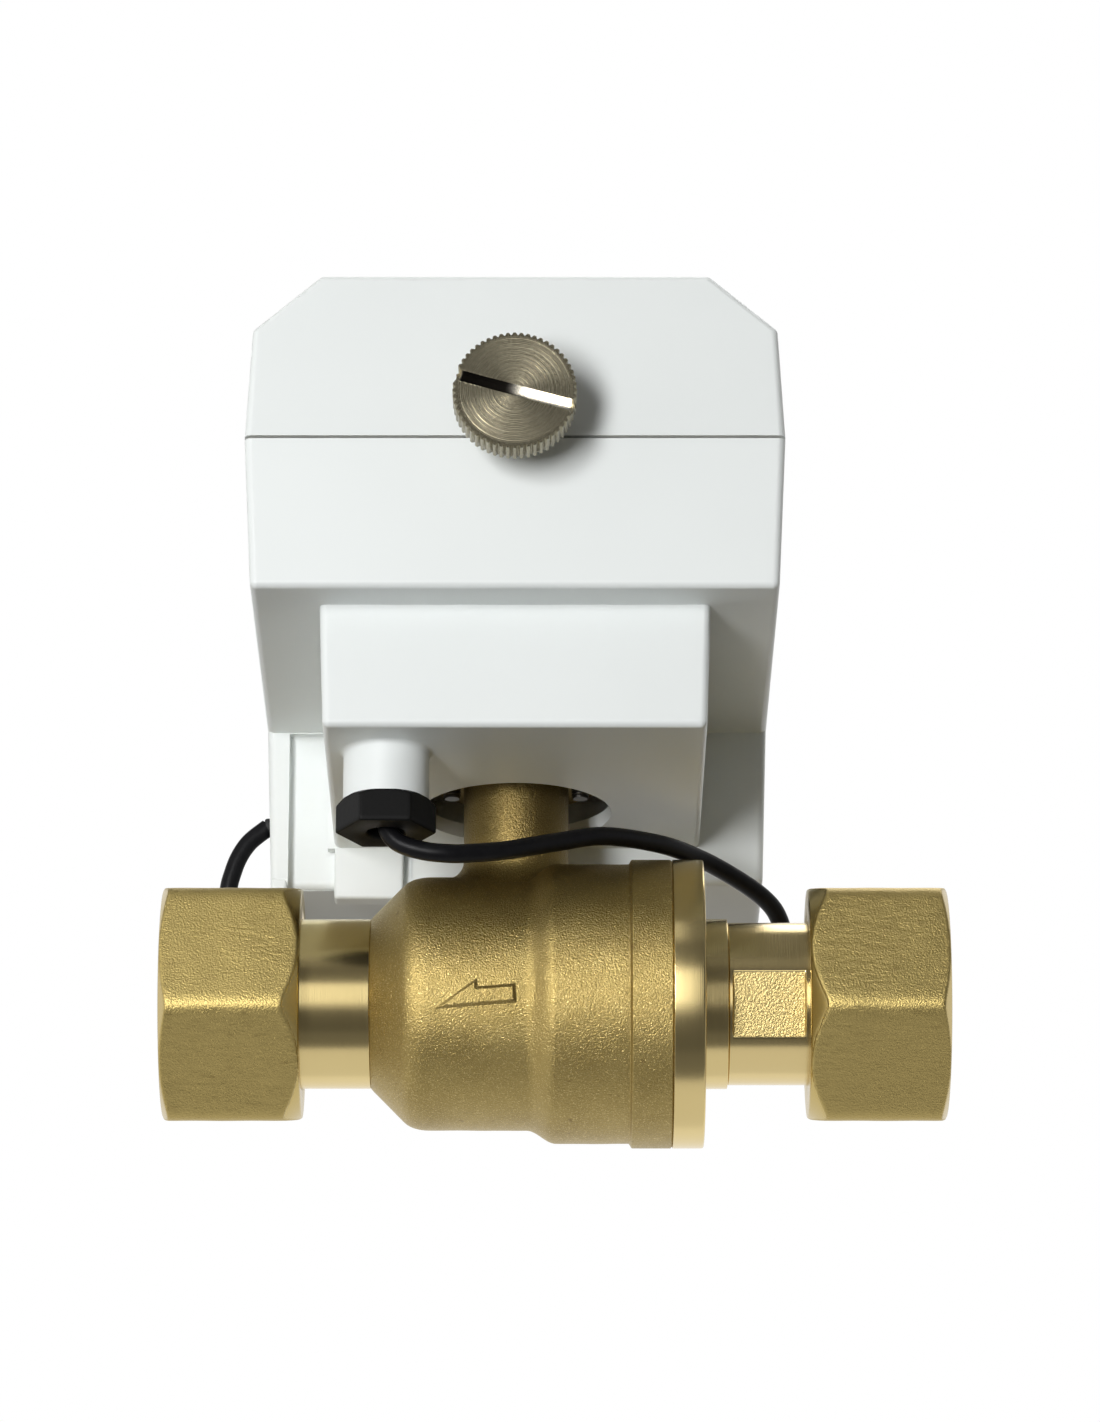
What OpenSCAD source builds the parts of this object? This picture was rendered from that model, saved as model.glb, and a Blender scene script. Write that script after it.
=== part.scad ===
// Smart water valve: a brass in-line ball valve turned by a geared motor in a moulded housing.
// Millimetres. Origin at the ball's centre, X along the pipe (inlet at +X), Z up the stem, -Y to the front.

/* [Valve] */
// Waterway bore, right through the valve
bore_d = 25; // [22:0.5:26]
// Diameter of the ball
ball_d = 38; // [37:0.25:39]
// Outside diameter of the body's barrel
barrel_d = 50.4; // [50:0.2:52]
// Step in radius to the wider end of the barrel
barrel_step = 2.6; // [2:0.1:4]
// Step in radius from the wide barrel to the end ring
ring_step = 0.9; // [0.4:0.1:2]
// Body length on the outlet side of the ball
body_outlet = 28.7; // [28:0.1:34]
// Body length on the inlet side of the ball
body_inlet = 31.1; // [30:0.1:36]
// Thickness of the end connector's polished flange
flange_t = 6.2; // [4:0.1:9]
// Length of the collar on the end connector
collar_len = 4.7; // [3:0.1:8]
// Wall that the collar leaves round the inlet tail's thread
collar_wall = 2.1; // [1.5:0.1:4]
// Diameter of the threads that hold both tails
tail_thread_d = 29.6; // [29:0.1:30]
// Outside diameter of the outlet tail
outlet_tail_d = 33.7; // [33:0.1:34.4]
// Outside diameter of the inlet tail
inlet_tail_d = 32.3; // [31.8:0.1:33.6]
// Distance across the inlet tail's wrench flats
inlet_flats = 29.4; // [29:0.1:31]
// Bare length of the outlet tail between body and nut
outlet_reach = 13.8; // [10:0.1:24]
// Bare length of the inlet tail between collar and nut
inlet_reach = 16; // [12:0.1:24]

/* [Neck] */
// Outside diameter of the neck
neck_d = 21; // [20:0.1:21.4]
// Fillet between neck and barrel
neck_fillet = 4.5; // [2:0.1:6]
// Height of the neck flange's top above the pipe's axis
neck_top = 49; // [48:0.1:56]
// Thickness of the neck flange
neck_flange_t = 5; // [3:0.1:6]
// Diameter of the neck flange
neck_flange_d = 35; // [34:0.1:37]
// Circle of the four flange screws
flange_screw_pcd = 27; // [27:0.1:27.6]
// Diameter of the stem
stem_d = 12; // [11:0.1:12.4]

/* [Union nuts] */
// Distance across the flats of both union nuts
nut_af = 46; // [44:0.5:52]
// Length of both union nuts
nut_len = 27.5; // [25:0.5:36]
// Bore of the nuts' thread
nut_thread_d = 39; // [38.4:0.1:40]
// Thickness of the shoulder that the nuts pull with
nut_shoulder = 5; // [3.5:0.1:7]
// Thickness of the tails' end flanges
tail_flange_t = 3.7; // [2.5:0.1:5]
// Thickness of the flat union gaskets
gasket_t = 2; // [1:0.1:3]
// Turn of the nuts and wrench flats about the pipe
hex_turn = 17; // [0:1:30]

/* [Housing] */
// Width of the housing at the parting line
case_w = 105.3; // [104.5:0.1:112]
// Width of the base at its underside
base_w = 102.6; // [102:0.1:105]
// Front of the housing, measured from the stem
case_front = 64.7; // [64.6:0.1:72]
// Back of the housing, measured from the stem
case_back = 55; // [54:0.1:64]
// Draft of the front and back walls over the base's height
case_draft = 1.3; // [0.6:0.1:2]
// Height of the base's underside above the pipe
deck_z = 65; // [64:0.1:67]
// Height of the parting line above the pipe
parting_z = 95.7; // [94.5:0.1:98]
// Height of the lid
lid_h = 34.7; // [32:0.1:44]
// Chamfer along the lid's two upper edges
lid_chamfer = 12.4; // [8:0.1:14]
// Open line between base and lid
parting_gap = 0.6; // [0.4:0.1:1]
// Wall thickness of the mouldings
wall = 3; // [2.5:0.1:3.4]
// Rounding of the mouldings' outer edges
edge_r = 1.5; // [0.8:0.1:2]

/* [Gear block and rear compartment] */
// Width of the gear block where it meets the base
block_w = 76.4; // [76:0.1:84]
// Front of the gear block, measured from the stem
block_front = 53.5; // [53.2:0.1:58]
// Height of the gear block's underside above the pipe
block_z = 40; // [38:0.1:40.5]
// Clearance round the neck flange in the gear block's underside
neck_hole_gap = 1.6; // [1:0.1:3]
// Front of the rear compartment, measured from the stem
rear_front = 22.8; // [22.5:0.1:24]
// Height of the rear compartment's underside above the pipe
rear_z = 32.3; // [31:0.1:33]
// Wall between the rear compartment and the valve
rear_wall = 2.2; // [1.8:0.1:2.6]
// Width of the lug on the inset cover
lug_w = 14.1; // [10:0.1:16]
// How far the lug hangs below the rear compartment
lug_drop = 3.1; // [1:0.1:4]

/* [Thumb screw] */
// Diameter of the knurled head
head_d = 24; // [20:0.1:28]
// Thickness of the knurled head
head_t = 6; // [5:0.1:9]
// Length of the collar behind the head
screw_collar_len = 8; // [6:0.1:10]
// Diameter of the collar behind the head
screw_collar_d = 12; // [11:0.1:14]
// Thread diameter of the thumb screw
screw_d = 6; // [5:0.1:6.4]
// Height of the screw's axis above the parting line
screw_rise = 3.7; // [3.5:0.1:6]
// Width of the slot in the head
slot_w = 2; // [1.2:0.1:3]
// Depth of the slot in the head
slot_depth = 2.5; // [1:0.1:4]
// Turn of the slot away from level
slot_turn = 16; // [0:1:45]
// Number of straight knurls round the head
knurls = 54; // [40:1:70]

/* [Gears] */
// Gear module
gear_m = 1; // [0.96:0.01:1.02]
// Teeth of the output gear on the stem
output_teeth = 48; // [46:1:48]
// Teeth of the idler's large gear
idler_teeth = 36; // [34:1:36]
// Teeth of the idler's and the motor's pinions
pinion_teeth = 12; // [12:1:13]
// Direction from the stem to the idler
idler_dir = 250.5; // [248:0.5:252]
// Direction from the idler to the motor
motor_dir = 0; // [-4:1:4]
// Width of the output gear's teeth
output_face = 6; // [4:0.1:6.4]
// Width of the idler's large gear
idler_face = 4; // [3:0.1:4.4]
// Space between the two gear plates
plate_space = 14; // [13.8:0.1:15]
// Thickness of the lower gear plate
lower_plate_t = 4; // [3:0.1:4.4]
// Thickness of the upper gear plate
upper_plate_t = 2.5; // [2:0.1:3]
// Diameter of the idler's pin
pin_d = 4; // [3:0.1:5]
// Diameter of the motor
motor_d = 24; // [20:0.5:25]
// Length of the motor
motor_len = 31; // [25:0.5:36]

/* [Cable gland and lead] */
// Place of the gland, across the housing
gland_x = -25.2; // [-26:0.1:-24.5]
// Place of the gland, front to back
gland_y = -37.4; // [-38.5:0.1:-36]
// Diameter of the gland's boss
gland_boss_d = 16.8; // [16:0.1:18]
// Length of the gland's boss
gland_boss_len = 10.2; // [9:0.1:12]
// Distance across the gland nut's flats
gland_af = 17; // [16:0.1:18]
// Height of the gland nut's hexagon
gland_hex_h = 6.4; // [5:0.1:8]
// Hole in the gland nut
gland_hole_d = 7.3; // [6:0.1:8]
// Diameter of the lead
lead_d = 3.7; // [2.5:0.1:4.2]
// Height of the grommet above the pipe
grommet_z = 49.5; // [46:0.5:56]
// Place of the grommet behind the stem
grommet_y = 38; // [34:0.5:42]
// Diameter of the grommet
grommet_d = 6.4; // [5:0.1:8]

/* [Electronics] */
// Gap between the control board's ends and the side walls
board_side_gap = 1.3; // [0.8:0.1:3]
// Depth of the control board
board_l = 33; // [32:0.5:34]
// Thickness of the control board
board_t = 1.6; // [1:0.1:2]
// Side of the radio module's shield can
radio_w = 18; // [14:0.5:20]
// Diameter of the capacitors
capacitor_d = 8; // [5:0.5:10]
// Height of the capacitors
capacitor_h = 12; // [8:0.5:16]
// Spacing of the terminal block's ways
terminal_pitch = 5; // [3.5:0.1:5.5]
// Height of the posts under the control board
board_post_h = 11.6; // [11.6:0.1:14]
// Diameter of a battery cell
cell_d = 14.5; // [13.5:0.1:14.8]
// Length of a battery cell
cell_len = 50.5; // [44:0.5:54]
// Number of battery cells
cells = 4; // [2:1:5]

/* [Clearances] */
// Running clearance between turning pieces, on the radius
run_gap = 0.06; // [0.03:0.01:0.09]
// Gap between the ball and its seats
ball_gap = 0.1; // [0.05:0.01:0.15]
// Gap between pieces that fit by hand, on each side
fit_gap = 0.05; // [0.02:0.01:0.08]
// Free gap between pieces that move past each other
free_gap = 0.3; // [0.2:0.05:0.4]

/* [Hidden] */
$fn = 64;
hull_fn = 24;
eps = 0.01;

// Valve: radii and stations along the pipe
bore_r = bore_d / 2;
ball_r = ball_d / 2;
barrel_r = barrel_d / 2;
wide_r = barrel_r + barrel_step;
ring_r = wide_r + ring_step;
ring_len = 8;
end_r = 17;
cone_base_r = barrel_r - 1.7;
shoulder_round = 3.5;
step_start = 2;
step_len = 6;
outlet_tail_r = outlet_tail_d / 2;
inlet_tail_r = inlet_tail_d / 2;
tail_thread_r = tail_thread_d / 2;
tail_thread_len = 8.7;
flange_x = body_inlet + flange_t;
collar_x = flange_x + collar_len;
collar_r = tail_thread_r + collar_wall;
inlet_nut_x = collar_x + inlet_reach;
outlet_nut_x = -body_outlet - outlet_reach;
nut_shoulder_gap = free_gap;
tail_flange_r = nut_thread_d / 2 - 0.6;
seat_r = 18;
seat_len = 6.5;
seat_pocket = 3;
seat_x = ball_r - 2;
ball_room_r = ball_r + 1.2;
insert_r = 22;
insert_x = seat_x + 1.5;
insert_nose_r = ball_room_r - 0.2;
o_ring_r = 0.9;
o_ring_seat = insert_r - o_ring_r;
o_ring_x = body_inlet - 4;

// Stem and neck
neck_r = neck_d / 2;
stem_r = stem_d / 2;
slot_floor = ball_r - 4;
tongue_w = 5;
tongue_l = 13;
stem_foot_z = ball_r + 1.3;
stem_foot_t = 1.8;
stem_foot_r = stem_r + 2;
thrust_z = stem_foot_z + stem_foot_t + ball_gap;
thrust_t = 0.8;
stem_rings_z = [neck_top - 13, neck_top - 8];
stem_ring_r = 0.7;
flange_screw_r = 1.5;
flange_head_r = 2.75;
flange_head_h = 2.5;

// Gear train: heights above the pipe and places in plan
lower_plate_z = neck_top;
gear_floor_z = lower_plate_z + lower_plate_t;
upper_plate_z = gear_floor_z + plate_space;
plate_top_z = upper_plate_z + upper_plate_t;
output_z = gear_floor_z + 1.3;
idler_z = output_z + output_face + 0.8;
output_pitch_r = gear_m * output_teeth / 2;
pinion_pitch_r = gear_m * pinion_teeth / 2;
idler_pitch_r = gear_m * idler_teeth / 2;
idler_reach = output_pitch_r + pinion_pitch_r;
motor_reach = idler_pitch_r + pinion_pitch_r;
idler_at = idler_reach * [cos(idler_dir), sin(idler_dir)];
motor_at = idler_at + motor_reach * [cos(motor_dir), sin(motor_dir)];
pressure_angle = 25;
tooth_slack = 0.16;
drive_side = 8.4;
drive_z = gear_floor_z + 0.3;
journal_r = 3.5;
journal_z = output_z + output_face;
stem_top_z = plate_top_z + 2.5;
magnet_t = 3;
motor_shaft_r = 1;
motor_screw_reach = 8.5;
motor_screw_r = 1.2;
gear_room_r = output_pitch_r + 2 * gear_m;

// Housing: the gear plates hang on posts that stand on the gear block's floor
block_floor_z = block_z + wall;
deck_floor_z = deck_z + wall;
base_front = case_front - case_draft;
base_back = case_back - case_draft;
block_draft = 0.9;
rear_draft = 1.05;
lid_draft = 1.2;
base_top_z = parting_z - parting_gap / 2;
lid_bottom_z = parting_z + parting_gap / 2;
lid_top_z = parting_z + lid_h;
block_in_x = block_w / 2 - block_draft - wall - 0.4;
plate_x = block_in_x - 0.8;
plate_front = block_front - wall - 2.2;
plate_back = rear_front - 3.4;
post_r = 3.5;
post_inset = 4;
plate_posts = [for (sx = [1, -1], y = [post_inset - plate_front, plate_back - post_inset - 0.4])
    [sx * (plate_x - post_inset), y]];
plate_screw_r = 1.5;
plate_head_r = 2.75;
plate_head_h = 2;
neck_hole_r = neck_flange_d / 2 + neck_hole_gap;
seal_w = 1.4;
seal_sink = 0.9;
seal_top = lid_bottom_z - free_gap;

// Inset cover in the rear compartment's front wall, left of the gear block
cover_left = -base_w / 2 + 4.6;
cover_right = -block_w / 2 + 16.9;
cover_top = deck_z - 0.2;
cover_gap = 0.2;
cover_t = 2.2;
cover_face = rear_front + rear_wall;
lug_right = cover_right - 1.8;
lug_face = rear_front - 0.4;
ledge_over = 2.5;
ledge_w = 1.6;

// Thumb screw, its insert and the boss that stands up behind the lid's front
screw_z = parting_z + screw_rise;
screw_r = screw_d / 2;
washer_t = 1;
washer_r = screw_collar_d / 2 + 0.5;
washer_face = -case_front - 0.1;
screw_collar_y = washer_face - washer_t;
insert_od_r = screw_r + 1.5;
boss_x = insert_od_r + 3.5;
boss_front = case_front - lid_draft - wall - 0.8;
boss_depth = 10.6;
insert_len = boss_depth - 0.6;
knurl_depth = 0.7;

// Gland, grommet and the lead between them
gland_nut_z = block_z - gland_boss_len;
gland_spigot_r = gland_boss_d / 2 - 2.2;
gland_spigot_len = 5;
gland_bore_r = 4;
gland_seal_z = gland_nut_z - 2.3;
grommet_r = grommet_d / 2;
grommet_lip = 0.8;
grommet_wall_x = base_w / 2 - rear_draft * (deck_z - grommet_z) / (deck_z - rear_z);
grommet_face_x = -grommet_wall_x - grommet_lip;
lead_r = lead_d / 2;
lead_sides = 8;
lead_steps = 2;
lead_route = [
    [gland_x, gland_y, gland_seal_z], [-24.8, -37.6, 24], [-22.6, -38, 21.3], [-18.2, -38.5, 19.6],
    [-13.4, -38.5, 19], [-8.8, -37, 19.5], [-1.7, -34, 21.1], [7.8, -27, 25], [17.4, -20, 28.6],
    [28.9, -8, 30.8], [37, 2, 31], [44, 8.5, 29.2], [49.8, 14, 26.8], [53, 18, 24], [54.4, 22, 19.5],
    [53.6, 26, 14], [50.5, 30, 8], [44.5, 33.5, 2.5], [35, 35.5, -2], [20, 36.5, -6], [0, 37, -7.5],
    [-20, 37.2, -5.5], [-36, 38, 1.5], [-48, 38.8, 11], [-56, 39, 22], [-59.5, 38.6, 33.5],
    [-58.5, 38.2, 40.5], [-55.8, 38, 45.8], [grommet_face_x, grommet_y, grommet_z]
];

// Control electronics and battery
board_w = base_w - 2 * wall - 2 * board_side_gap;
board_z = deck_floor_z + board_post_h;
board_back = rear_front - 1.8;
board_top = board_z + board_t;
board_posts = [for (sx = [-1, 1], y = [board_back - 4, board_back - board_l + 4]) [sx * (board_w / 2 - 3.5), y]];
board_screw_r = 1.4;
cell_r = cell_d / 2;
cell_pitch = cell_d + 1.7;
cell_y = case_back - case_draft - wall - cell_r - 4.2;
holder_z = rear_z + wall;
holder_floor = 2;
contact_t = 0.5;
cell_z = holder_z + holder_floor + contact_t;
nub_h = 1;
nub_r = 2.7;

// Radius of the barrel's crown above a point of the neck's fillet, at distance r and direction a
function barrel_crown(r, a) = sqrt(pow(barrel_r, 2) - pow(r * sin(a), 2));

// Involute function of an angle in degrees, as degrees
function involute(a) = (tan(a) - a * PI / 180) * 180 / PI;

// Half of a tooth's angle at radius r, for a gear of n teeth
function half_tooth(n, r) =
    let (rp = gear_m * n / 2, rb = rp * cos(pressure_angle))
    90 / n - tooth_slack / 2 / rp * 180 / PI / 2
    + involute(pressure_angle) - involute(acos(min(1, rb / max(r, rb))));

// Outline of a gear of n teeth, with one tooth centred on +X
function gear_outline(n) =
    let (rp = gear_m * n / 2, rb = rp * cos(pressure_angle), rf = rp - 1.2 * gear_m, ra = rp + 0.9 * gear_m,
         rs = rf < rb ? [rf, rb, rp, ra] : [rf, rp, ra], last = len(rs) - 1)
    [for (t = [0 : n - 1], k = [0 : 2 * last + 1])
        let (r = rs[k <= last ? k : 2 * last + 1 - k], a = half_tooth(n, r) * (k <= last ? -1 : 1) + t * 360 / n)
        r * [cos(a), sin(a)]];

// A point of the smooth curve through four neighbouring route points
function curve_point(a, b, c, d, t) =
    0.5 * (2 * b + (c - a) * t + (2 * a - 5 * b + 4 * c - d) * t * t + (3 * b - a - 3 * c + d) * t * t * t);

// The smooth curve through a list of points, with n steps from each to the next
function curve(p, n) =
    let (last = len(p) - 1)
    concat([for (i = [0 : last - 1], k = [0 : n - 1])
        curve_point(p[max(i - 1, 0)], p[i], p[i + 1], p[min(i + 2, last)], k / n)], [p[last]]);

function unit(v) = v / norm(v);

// Direction of a path at point i
function heading(p, i) = unit(p[min(i + 1, len(p) - 1)] - p[max(i - 1, 0)]);

// A side vector carried along the path without twisting
function carry(n, t) = unit(n - (n * t) * t);
function side_vectors(p) =
    [for (i = 0, n = carry([0.3, 1, 0.1], heading(p, 0)); i < len(p);
        i = i + 1, n = carry(n, heading(p, min(i, len(p) - 1)))) n];

// A round tube swept along a path
module tube(path, r, sides) {
    n = side_vectors(path);
    rings = len(path);
    points = [for (i = [0 : rings - 1], k = [0 : sides - 1])
        let (b = cross(heading(path, i), n[i]))
        path[i] + r * (cos(k * 360 / sides) * n[i] + sin(k * 360 / sides) * b)];
    walls = [for (i = [0 : rings - 2], k = [0 : sides - 1])
        let (a = i * sides + k, b = i * sides + (k + 1) % sides)
        each [[a, a + sides, b + sides], [a, b + sides, b]]];
    first = [for (k = [1 : sides - 2]) [0, k, k + 1]];
    base = (rings - 1) * sides;
    final = [for (k = [1 : sides - 2]) [base, base + k + 1, base + k]];
    polyhedron(points, concat(walls, first, final), convexity = 6);
}

// A solid of revolution about the pipe, from [x, radius] points
module turned(profile) {
    rotate([0, 90, 0]) rotate_extrude() polygon([for (p = profile) [p[1], p[0]]]);
}

// A plain cylinder along the pipe
module along_x(x0, x1, r) {
    translate([x0, 0, 0]) rotate([0, 90, 0]) cylinder(r = r, h = x1 - x0);
}

// A plain cylinder along Y
module along_y(y0, y1, r) {
    translate([0, y0, 0]) rotate([-90, 0, 0]) cylinder(r = r, h = y1 - y0);
}

module ring_z(z, h, r_out, r_in) {
    translate([0, 0, z]) difference() {
        cylinder(r = r_out, h = h);
        translate([0, 0, -1]) cylinder(r = r_in, h = h + 2);
    }
}

// A drafted moulding: half widths w, fronts f and backs b at its bottom and top, with rounded edges.
// The top is flat, and the bottom is rounded unless it is a cavity's.
module moulding(z, w, f, b, r, round_bottom = true) {
    hull() for (sx = [-1, 1], e = [0, 1], back = [0, 1]) {
        y = back == 1 ? b[e] - r : r - f[e];
        translate([sx * (w[e] - r), y, e == 0 ? z[0] + (round_bottom ? r : 0) : z[1] - eps])
            if (e == 0 && round_bottom) sphere(r = r, $fn = hull_fn);
            else cylinder(r = r, h = eps, $fn = hull_fn);
    }
}

// A screw pointing down from z, with a round head above it
module screw_down(z, r, len, head_r, head_h) {
    translate([0, 0, z - len]) cylinder(r = r, h = len + eps);
    translate([0, 0, z]) difference() {
        cylinder(r = head_r, h = head_h);
        translate([0, 0, head_h - 1]) cylinder(r = head_r * 0.5, h = 2, $fn = 6);
    }
}

// Outer profile of the valve body, from the outlet face to the inlet face
function body_profile() =
    let (cone_x = -body_outlet + cone_base_r - end_r, bend_x = cone_x + barrel_r - cone_base_r,
         ring_x = body_inlet - ring_len)
    concat([[-body_outlet, 0], [-body_outlet, end_r]],
        [for (k = [0 : 6]) let (t = k / 6)
            [cone_x * pow(1 - t, 2) + 2 * bend_x * t * (1 - t) + (bend_x + shoulder_round) * t * t,
             cone_base_r * pow(1 - t, 2) + 2 * barrel_r * t * (1 - t) + barrel_r * t * t]],
        [for (k = [0 : 8]) [step_start + step_len * k / 8, barrel_r + barrel_step * (1 - cos(k * 22.5)) / 2]],
        [[ring_x - 0.6, wide_r], [ring_x, ring_r], [body_inlet, ring_r], [body_inlet, 0]]);

// Skirt that blends the neck into the barrel: at each direction a concave quarter round,
// lifted onto the barrel's crown
module neck_blend() {
    around = 48;
    up = 6;
    sunk = 3;
    blend_sink = 0.2;
    points = concat(
        [for (k = [0 : up], j = [0 : around - 1])
            let (a = j * 360 / around, s = k * 90 / up, r = neck_r + neck_fillet * (1 - sin(s)) - blend_sink)
            [r * cos(a), r * sin(a), barrel_crown(r, a) + neck_fillet * (1 - cos(s)) - blend_sink]],
        [for (j = [0 : around - 1])
            let (a = j * 360 / around, r = neck_r + neck_fillet - blend_sink)
            [r * cos(a), r * sin(a), barrel_crown(r, a) - sunk]],
        [[0, 0, barrel_r + neck_fillet], [0, 0, barrel_r - sunk - neck_fillet]]);
    top = up * around;
    low = (up + 1) * around;
    tip = low + around;
    faces = [for (j = [0 : around - 1]) let (n = (j + 1) % around) each concat(
        [for (k = [0 : up - 1]) each [
            [k * around + j, (k + 1) * around + n, k * around + n],
            [k * around + j, (k + 1) * around + j, (k + 1) * around + n]]],
        [[top + j, tip, top + n], [low + j, j, n], [low + j, n, low + n], [low + n, tip + 1, low + j]])];
    polyhedron(points, faces, convexity = 4);
}

// Raised half arrow on the body's front, pointing with the flow
module flow_arrow() {
    arrow_len = 15.6;
    shaft_h = 3.4;
    barb_h = 5;
    barb_x = 8.2;
    raised = 0.45;
    rotate([hex_turn, 0, 0]) translate([-arrow_len, 1 - barrel_r, -shaft_h / 2]) rotate([90, 0, 0])
        linear_extrude(1 + raised)
            polygon([[0, 0], [arrow_len, 0], [arrow_len, shaft_h], [barb_x, shaft_h], [barb_x, barb_h]]);
}

module valve_body() {
    color("#a98d4d") difference() {
        union() {
            turned(body_profile());
            cylinder(r = neck_r, h = neck_top - eps);
            neck_blend();
            translate([0, 0, neck_top - neck_flange_t]) cylinder(d = neck_flange_d, h = neck_flange_t);
            flow_arrow();
        }
        along_x(-body_outlet - 1, body_inlet + 1, bore_r);
        along_x(-body_outlet - 1, -body_outlet + tail_thread_len, tail_thread_r + fit_gap);
        along_x(-seat_x, 0, seat_r + fit_gap);
        along_x(seat_pocket - seat_x, insert_x, ball_room_r);
        along_x(insert_x, body_inlet + 1, insert_r + fit_gap);
        cylinder(r = stem_r + run_gap, h = neck_top + 1);
        cylinder(r = stem_foot_r + free_gap, h = thrust_z + thrust_t);
        for (a = [0 : 90 : 270]) rotate(a) translate([flange_screw_pcd / 2, 0, neck_top - neck_flange_t - 1])
            cylinder(r = flange_screw_r + fit_gap, h = neck_flange_t + 2);
    }
}

module end_connector() {
    edge = 0.5;
    color("#c9ab5e") difference() {
        turned([
            [seat_x - seat_pocket, 0], [seat_x - seat_pocket, insert_nose_r], [insert_x + free_gap, insert_nose_r],
            [insert_x + free_gap, insert_r], [body_inlet, insert_r], [body_inlet, ring_r],
            [flange_x - edge, ring_r], [flange_x, ring_r - edge], [flange_x, collar_r], [collar_x, collar_r],
            [collar_x, 0]
        ]);
        along_x(0, collar_x + 1, bore_r);
        along_x(0, seat_x, seat_r + fit_gap);
        along_x(collar_x - tail_thread_len, collar_x + 1, tail_thread_r + fit_gap);
        difference() {
            along_x(o_ring_x - o_ring_r - fit_gap, o_ring_x + o_ring_r + fit_gap, insert_r + 1);
            along_x(o_ring_x - 2, o_ring_x + 2, o_ring_seat - o_ring_r - fit_gap);
        }
    }
}

// A sleeve screwed in at x = 0, with the nut's shoulder starting at reach and a flange behind it
module union_tail(r, reach) {
    flange_at = reach + nut_shoulder + nut_shoulder_gap;
    difference() {
        turned([
            [-tail_thread_len, 0], [-tail_thread_len, tail_thread_r], [0, tail_thread_r], [0, r],
            [flange_at, r], [flange_at, tail_flange_r],
            [flange_at + tail_flange_t, tail_flange_r], [flange_at + tail_flange_t, 0]
        ]);
        along_x(-tail_thread_len - 1, flange_at + tail_flange_t + 1, bore_r);
    }
}

module union_gasket(reach) {
    x = reach + nut_shoulder + nut_shoulder_gap + tail_flange_t;
    difference() {
        along_x(x, x + gasket_t, tail_flange_r);
        along_x(x - 1, x + gasket_t + 1, bore_r + 0.5);
    }
}

module outlet_tail() {
    color("#cfb268") translate([-body_outlet, 0, 0]) mirror([1, 0, 0]) union_tail(outlet_tail_r, outlet_reach);
}

module inlet_tail() {
    flat_start = 0.7;
    color("#cfb268") translate([collar_x, 0, 0]) difference() {
        union_tail(inlet_tail_r, inlet_reach);
        for (side = [0, 180]) rotate([hex_turn + side, 0, 0])
            translate([flat_start, -inlet_tail_d, -inlet_tail_r])
                cube([inlet_reach - 2 * flat_start, inlet_tail_d - inlet_flats / 2, inlet_tail_d]);
    }
}

module outlet_gasket() {
    color("#2a2a2a") translate([-body_outlet, 0, 0]) mirror([1, 0, 0]) union_gasket(outlet_reach);
}

module inlet_gasket() {
    color("#2a2a2a") translate([collar_x, 0, 0]) union_gasket(inlet_reach);
}

module seat_rings() {
    inner_x = sqrt(pow(ball_r + ball_gap, 2) - pow(bore_r, 2));
    lip_r = sqrt(pow(ball_r + ball_gap, 2) - pow(seat_x - seat_len, 2));
    arc = [asin(bore_r / (ball_r + ball_gap)), asin(lip_r / (ball_r + ball_gap))];
    color("#f2f0ea") for (side = [0, 1]) mirror([side, 0, 0]) turned(concat(
        [[seat_x, bore_r], [inner_x, bore_r]],
        [for (k = [1 : 7]) let (a = arc[0] + (arc[1] - arc[0]) * k / 8) (ball_r + ball_gap) * [cos(a), sin(a)]],
        [[seat_x - seat_len, lip_r], [seat_x - seat_len, seat_r], [seat_x, seat_r]]));
}

module body_o_ring() {
    color("#222222") translate([o_ring_x, 0, 0]) rotate([0, 90, 0])
        rotate_extrude() translate([o_ring_seat, 0]) circle(r = o_ring_r, $fn = 24);
}

module thrust_washer() {
    color("#f2f0ea") ring_z(thrust_z, thrust_t, stem_foot_r, stem_r + run_gap);
}

module flange_screws() {
    color("#b9b9b4") for (a = [0 : 90 : 270]) rotate(a)
        translate([flange_screw_pcd / 2, 0, neck_top - neck_flange_t]) mirror([0, 0, 1])
            screw_down(0, flange_screw_r, neck_flange_t + lower_plate_t - 0.5, flange_head_r, flange_head_h);
}

module ball() {
    color("#d8d8d6") difference() {
        sphere(r = ball_r, $fn = 96);
        along_x(-ball_r - 1, ball_r + 1, bore_r);
        translate([-tongue_w / 2 - fit_gap, -ball_r, slot_floor]) cube([tongue_w + 2 * fit_gap, ball_d, ball_r]);
    }
}

module stem() {
    color("#c8b070") difference() {
        union() {
            translate([-tongue_w / 2, -tongue_l / 2, slot_floor + 0.2])
                cube([tongue_w, tongue_l, stem_foot_z - slot_floor]);
            translate([0, 0, stem_foot_z]) cylinder(r = stem_foot_r, h = stem_foot_t);
            translate([0, 0, stem_foot_z + eps]) cylinder(r = stem_r, h = drive_z - stem_foot_z - eps);
            translate([-drive_side / 2, -drive_side / 2, drive_z - eps])
                cube([drive_side, drive_side, journal_z - drive_z + eps]);
            translate([0, 0, journal_z - eps]) cylinder(r = journal_r, h = stem_top_z - journal_z + eps);
        }
        for (z = stem_rings_z) ring_z(z - stem_ring_r - fit_gap, 2 * (stem_ring_r + fit_gap), stem_r + 1,
            stem_r - 2 * stem_ring_r - fit_gap);
    }
}

module stem_o_rings() {
    color("#222222") for (z = stem_rings_z) translate([0, 0, z])
        rotate_extrude() translate([stem_r - stem_ring_r, 0]) circle(r = stem_ring_r, $fn = 20);
}

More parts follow.
